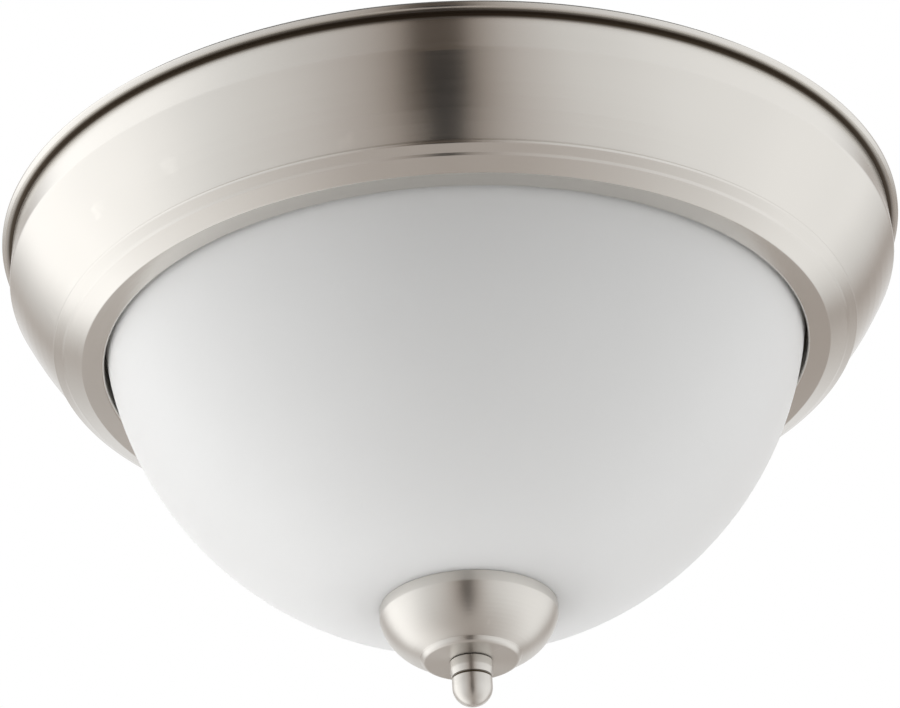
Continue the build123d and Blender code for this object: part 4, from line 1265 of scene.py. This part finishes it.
@dataclass(frozen=True)
class Holder:
    """A porcelain lamp holder with its shell and screws, made upward from its back, in millimetres."""

    back_x: float = 88.033
    y: float = 42.0
    drop: float = 58.0
    rear_r: float = 16.5
    rear: float = 12.0
    skirt_r: float = 19.0
    length: float = 40.0
    bore_r: float = 13.85
    floor: float = 13.0
    flat: float = 13.5
    edge: float = 1.2
    shell_r: float = 13.8
    shell: float = 0.45
    shell_end: float = 38.0
    wire_x: float = 6.45
    wire_y: float = 6.2
    screw_z: float = 9.0
    bracket: float = 1.2
    lamp_start: float = 15.4

    def place(self, along: float = 0.0) -> Matrix:
        """The first holder's back, with its axis along X, or a point farther along that axis."""
        return spot(along - self.back_x, self.y, -self.drop) @ ALONG_X

    def _clipped(self, r: float, z: float, angle: float) -> float:
        """Cuts the flat for the wire screws into the rear; up in the room is minus X before the turn."""
        up = -math.cos(angle)
        if r <= self.flat or z > self.rear or up <= 0:
            return 0.0
        return min(0.0, self.flat / up - r)

    def _porcelain(self) -> list[Point]:
        """From the middle of the back round the outside into the bore's floor."""
        corners = [
            Corner(0.0, 0.0),
            Corner(self.rear_r, 0.0, self.edge),
            Corner(self.rear_r, self.rear, 0.3),
            Corner(self.skirt_r, self.rear, self.edge),
            Corner(self.skirt_r, self.length, self.edge),
            Corner(self.bore_r, self.length, 0.8),
            Corner(self.bore_r, self.floor, 0.3),
            Corner(0.0, self.floor),
        ]
        return rounded_points(corners)

    def build(self, model: Model, lamp: Lamp) -> None:
        """Builds both holders with their lamps, half a turn from each other.

        Args:
            model: the model they belong to.
            lamp: the lamp that each one holds.
        """
        body = Lathe(segments=256, closed=False, ripple=self._clipped)
        lining = [Corner(self.shell_r - self.shell, self.floor), Corner(self.shell_r - self.shell, self.shell_end, 0.1)]
        lining += [Corner(self.shell_r, self.shell_end, 0.1), Corner(self.shell_r, self.floor)]
        for number, turn in ((1, Matrix.Identity(4)), (2, HALF_TURN)):
            place = turn @ self.place()
            holder = body.piece(f"porcelain_{number}", self._porcelain(), place)
            model.add(holder, Body.FIXTURE, "porcelain", f"lamp_holder_{number}")
            shell = Lathe(segments=128).piece(f"lining_{number}", rounded_points(lining), place)
            model.add(shell, Body.FIXTURE, "holder_brass", f"holder_shell_{number}")
            lamp.build(model, number, turn @ self.place(self.lamp_start))
        self._screws(model)

    def _screws(self, model: Model) -> None:
        """The wire screws on the flats and the screws through the brackets."""
        places = []
        for side in (-1, 1):
            seat = spot(self.wire_x - self.back_x, self.y + side * self.wire_y, self.flat - self.drop)
            places += both(seat @ Matrix.Rotation(0.7 * side, 4, "Z"))
        wire = Screw(2.8, 1.8, 1.5, 4.5, Drive.SLOT).build("terminal_screws", *places)
        model.add(wire, Body.FIXTURE, "holder_brass", "wire_screws")
        places = []
        for side in (-1, 1):
            seat = spot(-self.back_x - self.bracket, self.y, side * self.screw_z - self.drop)
            places += both(seat @ Matrix.Rotation(-math.pi / 2, 4, "Y"))
        fixing = Screw(2.9, 1.6, 1.5, 9.0, Drive.CROSS).build("bracket_bolts", *places)
        model.add(fixing, Body.FIXTURE, "zinc_steel", "holder_screws")


@dataclass(frozen=True)
class Wiring:
    """The leads from the wire screws up into the bushing, in millimetres."""

    lead_r: float = 1.2
    start_x: float = -77.533
    start_z: float = -44.45
    y: float = 42.0
    wire_y: float = 6.2
    rise: float = -17.0
    entry: float = -14.8
    end: float = -8.6
    ring_r: float = 3.4
    bushing_neck: float = 6.55
    bushing_bore: float = 4.95
    bushing_flange: float = 8.75
    plate: tuple[float, float] = (-10.0, -10.9)
    lip: float = 1.3

    def build(self, model: Model) -> None:
        """Builds the four leads and the bushing."""
        for color, side, degrees in (("white", -1, 165.0), ("black", 1, 115.0)):
            for number, way in ((1, 1), (2, -1)):
                name = f"lead_{color}_{number}"
                piece = self._lead(f"{color}_lead_{number}", side, math.radians(degrees), way)
                model.add(piece, Body.FIXTURE, f"{color}_lead", name)
        top, low = self.plate
        neck, bore, flange, lip = self.bushing_neck, self.bushing_bore, self.bushing_flange, self.lip
        corners = [
            Corner(bore, (top + low) / 2),
            Corner(bore, top + lip, 0.5),
            Corner(flange, top + lip, 0.5),
            Corner(flange, top, 0.15),
            Corner(neck, top),
            Corner(neck, low),
            Corner(flange, low, 0.15),
            Corner(flange, low - lip, 0.5),
            Corner(bore, low - lip, 0.5),
            Corner(bore, (top + low) / 2),
        ]
        bushing = Lathe(segments=96).piece("bushing", rounded_points(corners)[:-1])
        model.add(bushing, Body.FIXTURE, "bushing_nylon", "lead_bushing")

    def _lead(self, name: str, side: int, angle: float, way: int) -> bpy.types.Object:
        """One lead as a smooth round line."""
        x, y = self.start_x, self.y + side * self.wire_y
        ring_x, ring_y = self.ring_r * math.cos(angle), self.ring_r * math.sin(angle)
        knots = [
            (x, y, self.start_z),
            (x, y, self.start_z * 0.45 + self.rise * 0.55),
            (x, y, self.rise - 1.0),
            (x * 0.93 + ring_x * 0.07, y * 0.93 + ring_y * 0.07, self.rise + 0.3),
            (x * 0.5 + ring_x * 0.5, y * 0.5 + ring_y * 0.5, (self.rise + self.entry) / 2),
            (x * 0.07 + ring_x * 0.93, y * 0.07 + ring_y * 0.93, self.entry - 0.3),
            (ring_x, ring_y, self.entry + 1.5),
            (ring_x, ring_y, self.end),
        ]
        curve = bpy.data.curves.new(name, "CURVE")
        curve.dimensions = "3D"
        curve.bevel_depth = self.lead_r * MM
        curve.bevel_resolution = 5
        curve.resolution_u = 10
        curve.use_fill_caps = True
        spline = curve.splines.new("NURBS")
        spline.points.add(len(knots) - 1)
        for point, (px, py, pz) in zip(spline.points, knots):
            point.co = (way * px * MM, way * py * MM, pz * MM, 1.0)
        spline.order_u = 3
        spline.use_endpoint_u = True
        lead = bpy.data.objects.new(name, curve)
        bpy.context.scene.collection.objects.link(lead)
        return lead


@dataclass(frozen=True)
class Pad:
    """The glass-fibre pad on the ceiling side of the pan, in millimetres."""

    hole_r: float = 66.99
    outer_r: float = 161.6
    top: float = -0.4
    low: float = -10.0
    rings: int = 56
    segments: int = 240
    loose: float = 0.9
    edge: float = 2.2

    def build(self, model: Model) -> None:
        """Builds the pad with an uneven fibrous surface inside its plain solid."""
        corners = [
            Corner(self.hole_r, self.low),
            Corner(self.hole_r, self.top, self.edge),
            Corner(self.outer_r, self.top, self.edge),
            Corner(self.outer_r, self.low),
        ]
        upper = rounded_points(corners)
        flat = [p for p in upper if abs(p[1] - self.top) < 1e-6]
        start, end = flat[0][0], flat[-1][0]
        fine = [(start + (end - start) * i / self.rings, self.top) for i in range(self.rings + 1)]
        head = upper[: upper.index(flat[0])]
        tail = upper[upper.index(flat[-1]) + 1 :]
        mesh = Lathe(segments=self.segments).mesh("pad", head + fine + tail)
        middle, reach = (self.hole_r + self.outer_r) / 2 * MM, (self.outer_r - self.hole_r) / 2 * MM
        for vertex in mesh.vertices:
            place = vertex.co
            if place.z * 1000 < self.low + 0.01:
                continue
            lumps = noise.noise(place * 55) + 0.5 * noise.noise(place * 160) + 0.3 * noise.noise(place * 420)
            sink = self.loose * MM * (0.5 + 0.5 * max(-1.0, min(1.0, lumps)))
            radius = math.hypot(place.x, place.y)
            side = (middle - radius) / reach
            flatness = 1 - abs(side) ** 6
            place.z -= sink * max(0.25, flatness)
            share = 1 + sink * side * abs(side) ** 5 / radius
            place.x *= share
            place.y *= share
        pad = finish_mesh("fibre_pad", mesh, sharp=80.0)
        model.add(pad, Body.FIXTURE, "glass_fibre", "insulation_pad")


@dataclass(frozen=True)
class Panel:
    """A big soft area light, in metres and watts, that looks at a point.

    Attributes:
        name: the light's name.
        azimuth: where it stands round the object; 0 is the camera's side and 90 is the viewer's right.
        elevation: its height above the horizon in degrees.
        distance: from the object's middle.
        size: width and height.
        power: its strength.
        color: its tint.
    """

    name: str
    azimuth: float
    elevation: float
    distance: float
    size: tuple[float, float]
    power: float
    color: Color = (1.0, 1.0, 1.0)

    def place(self) -> Vector:
        """Where the panel stands."""
        turn, rise = math.radians(self.azimuth), math.radians(self.elevation)
        flat = Vector((math.sin(turn), -math.cos(turn), 0.0)) * math.cos(rise)
        return Studio.MIDDLE + (flat + Vector((0.0, 0.0, math.sin(rise)))) * self.distance

    def build(self) -> None:
        """Adds the light."""
        light = bpy.data.lights.new(self.name, "AREA")
        light.shape = "RECTANGLE"
        light.size, light.size_y = self.size
        light.energy = self.power
        light.color = self.color
        lamp = bpy.data.objects.new(self.name, light)
        lamp.location = self.place()
        lamp.rotation_euler = (Studio.MIDDLE - lamp.location).to_track_quat("-Z", "Y").to_euler()
        lamp.visible_glossy = False
        bpy.context.scene.collection.objects.link(lamp)


@dataclass(frozen=True)
class Sweep:
    """The white paper that hangs round the light in a wide ring, in metres; only mirrors see it.

    Attributes:
        section: radius and height of the paper's corners, from its top down to the middle of the floor.
        centre: the height from which its angles are measured.
        peak: the glow of a level of 1.
        under: the level straight below the light.
        behind: the level behind the light and below it.
        levels: angle from the camera's side, to the viewer's right, and how bright the paper is there.
    """

    section: tuple[Point, ...] = ((2.1, 2.9), (2.1, -1.9), (1.95, -2.35), (1.6, -2.56), (0.0, -2.59))
    centre: float = -0.09
    peak: float = 1.6
    under: float = 0.34
    behind: float = 0.30
    levels: tuple[tuple[float, float], ...] = (
        (-180.0, 0.62),
        (-160.0, 0.60),
        (-143.0, 0.34),
        (-134.0, 0.52),
        (-122.0, 0.96),
        (-108.0, 1.0),
        (-80.0, 0.85),
        (-56.0, 0.62),
        (-30.0, 0.47),
        (-17.0, 0.35),
        (-10.5, 0.24),
        (-6.5, 0.06),
        (4.5, 0.05),
        (8.5, 0.24),
        (17.0, 0.41),
        (30.0, 0.54),
        (56.0, 0.66),
        (90.0, 0.74),
        (118.0, 0.73),
        (130.0, 0.55),
        (140.0, 0.28),
        (150.0, 0.42),
        (162.0, 0.60),
        (180.0, 0.62),
    )

    def _tone(self, level: float) -> Color:
        """The paper's colour at a level: white where it is bright, warm where it is dim."""
        fade = (1 - min(1.0, level * self.peak)) ** 1.5
        return (level, level * (1 - 0.27 * fade), level * (1 - 0.46 * fade))

    def _paint(self) -> bpy.types.Material:
        """The paper's glow, which changes with the angle round the light and below it."""
        material = bpy.data.materials.new("sweep")
        material.use_nodes = True
        tree = ShaderTree(material.node_tree)
        place = tree.add("TexCoord").outputs["Object"]
        parts = tree.add("SeparateXYZ", {"Vector": place}).outputs
        flat = tree.add("CombineXYZ", {"X": parts["X"], "Y": parts["Y"]}).outputs[0]
        reach = tree.add("VectorMath", {0: flat}, operation="LENGTH").outputs["Value"]
        rise = tree.calc("ARCTAN2", tree.calc("SUBTRACT", parts["Z"], self.centre), reach)
        rise = tree.calc("DEGREES", rise)
        turn = tree.calc("DEGREES", tree.calc("ARCTAN2", parts["X"], tree.calc("MULTIPLY", parts["Y"], -1.0)))
        drawn = tree.calc("MULTIPLY", turn, tree.span(rise, -40.0, -15.0, 0.77, 1.0))
        stops = [(angle / 360 + 0.5, self._tone(level)) for angle, level in self.levels]
        glow = tree.ramp(tree.span(drawn, -180.0, 180.0, 0.0, 1.0), stops)
        glow = tree.mixed(tree.span(rise, -78.0, -36.0, 1.0, 0.0), glow, self._tone(self.under))
        back = tree.span(tree.calc("ABSOLUTE", tree.calc("ADD", turn, 4.0)), 157.0, 169.0, 0.0, 1.0)
        low = tree.calc("MULTIPLY", back, tree.span(rise, -22.0, -12.0, 1.0, 0.0))
        glow = tree.mixed(low, glow, self._tone(self.behind))
        shader = tree.add("BsdfPrincipled", {"Roughness": 1.0, "Emission Color": glow})
        shader.inputs["Base Color"].default_value = (0.0, 0.0, 0.0, 1.0)
        shader.inputs["Emission Strength"].default_value = self.peak
        out = tree.add("OutputMaterial")
        tree.tree.links.new(shader.outputs["BSDF"], out.inputs["Surface"])
        return material

    def build(self) -> None:
        """Hangs the paper."""
        line = [(r / MM, z / MM) for r, z in self.section]
        mesh = Lathe(segments=96, closed=False).mesh("sweep", line)
        Studio.hang(mesh, self._paint())


class Studio:
    """The pale studio: floor, world, paper, dark card, soft lights and the camera."""

    MIDDLE = Vector((0.0, 0.0, -0.09))

    PANELS = (
        Panel("left", -72.0, -20.0, 1.8, (2.2, 2.3), 23.8),
        Panel("left_high", -70.0, 40.0, 1.8, (2.0, 1.2), 4.0),
        Panel("left_back", -127.0, -16.0, 1.8, (1.5, 2.1), 12.6),
        Panel("right", 72.0, -20.0, 1.8, (2.0, 2.2), 16.4),
        Panel("right_high", 68.0, 40.0, 1.8, (2.0, 1.2), 3.0),
        Panel("right_back", 125.0, -16.0, 1.8, (1.5, 2.0), 8.4),
        Panel("above", 0.0, 80.0, 1.8, (2.4, 2.4), 9.0),
    )

    def __init__(self) -> None:
        """Builds everything that isn't the object."""
        self._world()
        self._floor()
        Sweep().build()
        self._card("camera_card", 0.5, 0.085, (-1.15, -0.2), 1.2, 0.01)
        self._ceiling()
        for panel in self.PANELS:
            panel.build()
        self._camera()

    @staticmethod
    def _world() -> None:
        """A world that is white to the camera, grey in mirrors and a softer grey as light."""
        world = bpy.data.worlds.new("studio")
        bpy.context.scene.world = world
        world.use_nodes = True
        tree = ShaderTree(world.node_tree)
        path = tree.add("LightPath").outputs
        seen = tree.calc("MAXIMUM", path["Is Camera Ray"], path["Is Transmission Ray"])
        mirror = tree.calc("MULTIPLY", path["Is Glossy Ray"], 0.5)
        level = tree.calc("MAXIMUM", tree.calc("MAXIMUM", seen, mirror), 0.22)
        color = tree.tint(path["Is Glossy Ray"], (1.0, 1.0, 1.0), (1.0, 0.95, 0.88))
        back = tree.add("Background", {"Strength": level, "Color": color})
        out = tree.add("OutputWorld")
        tree.tree.links.new(back.outputs["Background"], out.inputs["Surface"])

    @staticmethod
    def _plain(name: str, color: float, glow: float = 0.0) -> bpy.types.Material:
        """A plain grey stage material."""
        material = bpy.data.materials.new(name)
        material.use_nodes = True
        tree = ShaderTree(material.node_tree)
        shader = tree.add("BsdfPrincipled", {"Roughness": 0.95})
        shader.inputs["Base Color"].default_value = (color, color, color, 1.0)
        shader.inputs["Emission Color"].default_value = (1.0, 1.0, 1.0, 1.0)
        shader.inputs["Emission Strength"].default_value = glow
        out = tree.add("OutputMaterial")
        tree.tree.links.new(shader.outputs["BSDF"], out.inputs["Surface"])
        return material

    def _floor(self) -> None:
        """A pale floor far below the light."""
        bpy.ops.mesh.primitive_plane_add(size=9.0, location=(0.0, 0.0, -2.6))
        floor = bpy.context.object
        floor.name = "floor"
        floor.data.materials.append(self._plain("floor", 0.85, 0.25))
        floor.visible_camera = False
        floor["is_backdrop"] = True

    def _ceiling(self) -> None:
        """A dim ceiling over the ring of paper."""
        shape = bmesh.new()
        top = spot(0.0, 0.0, Sweep.section[0][1] / MM)
        bmesh.ops.create_circle(shape, cap_ends=True, segments=64, radius=Sweep.section[0][0], matrix=top)
        mesh = bpy.data.meshes.new("ceiling")
        shape.to_mesh(mesh)
        shape.free()
        self.hang(mesh, self._plain("ceiling", 0.28))

    def _card(self, name: str, azimuth: float, half: float, rise: tuple[float, float], distance: float, grey: float) -> None:
        """A dark upright card that only mirrors see.

        Args:
            name: the card's name.
            azimuth: where its middle stands round the object, in degrees.
            half: half its width in radians.
            rise: its lowest and highest angle in radians.
            distance: how far off it stands.
            grey: its colour.
        """
        shape = bmesh.new()
        rows = []
        for height in rise:
            row = []
            for i in range(9):
                turn = math.radians(azimuth) + half * (i / 4 - 1)
                flat = Vector((math.sin(turn), -math.cos(turn), 0.0)) * math.cos(height)
                row.append(shape.verts.new(self.MIDDLE + (flat + Vector((0.0, 0.0, math.sin(height)))) * distance))
            rows.append(row)
        for i in range(8):
            shape.faces.new((rows[0][i], rows[0][i + 1], rows[1][i + 1], rows[1][i]))
        mesh = bpy.data.meshes.new(name)
        shape.to_mesh(mesh)
        shape.free()
        self.hang(mesh, self._plain(name, grey))

    @staticmethod
    def hang(mesh: bpy.types.Mesh, material: bpy.types.Material) -> None:
        """Hangs a sheet that only mirrors see."""
        mesh.materials.append(material)
        sheet = bpy.data.objects.new(mesh.name, mesh)
        bpy.context.scene.collection.objects.link(sheet)
        sheet.visible_camera = False
        sheet.visible_diffuse = False
        sheet.visible_transmission = False
        sheet.visible_shadow = False
        sheet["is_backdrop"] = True

    @staticmethod
    def _camera() -> None:
        """The photograph's camera: level with the floor side, looking up at the light."""
        data = bpy.data.cameras.new("camera")
        data.sensor_width = 36.0
        data.lens = 161.65
        camera = bpy.data.objects.new("camera", data)
        camera.location = (0.0, -1.3211, -0.7638)
        turn = Matrix.Rotation(math.radians(0.1), 4, "Z") @ Matrix.Rotation(math.radians(118.52), 4, "X")
        camera.rotation_euler = (turn @ Matrix.Rotation(math.radians(-2.764), 4, "Z")).to_euler()
        bpy.context.scene.collection.objects.link(camera)
        bpy.context.scene.camera = camera
        bpy.context.scene.view_settings.view_transform = "Standard"


def main() -> None:
    """Builds the light, then the studio round it."""
    logging.basicConfig(level=logging.INFO, format="%(message)s")
    model = Model()
    Pan().build(model)
    Shade().build(model)
    FinialKnob().build(model)
    Hardware().build(model)
    Holder().build(model, Lamp())
    Wiring().build(model)
    Pad().build(model)
    Studio()


if __name__ == "__main__":
    main()
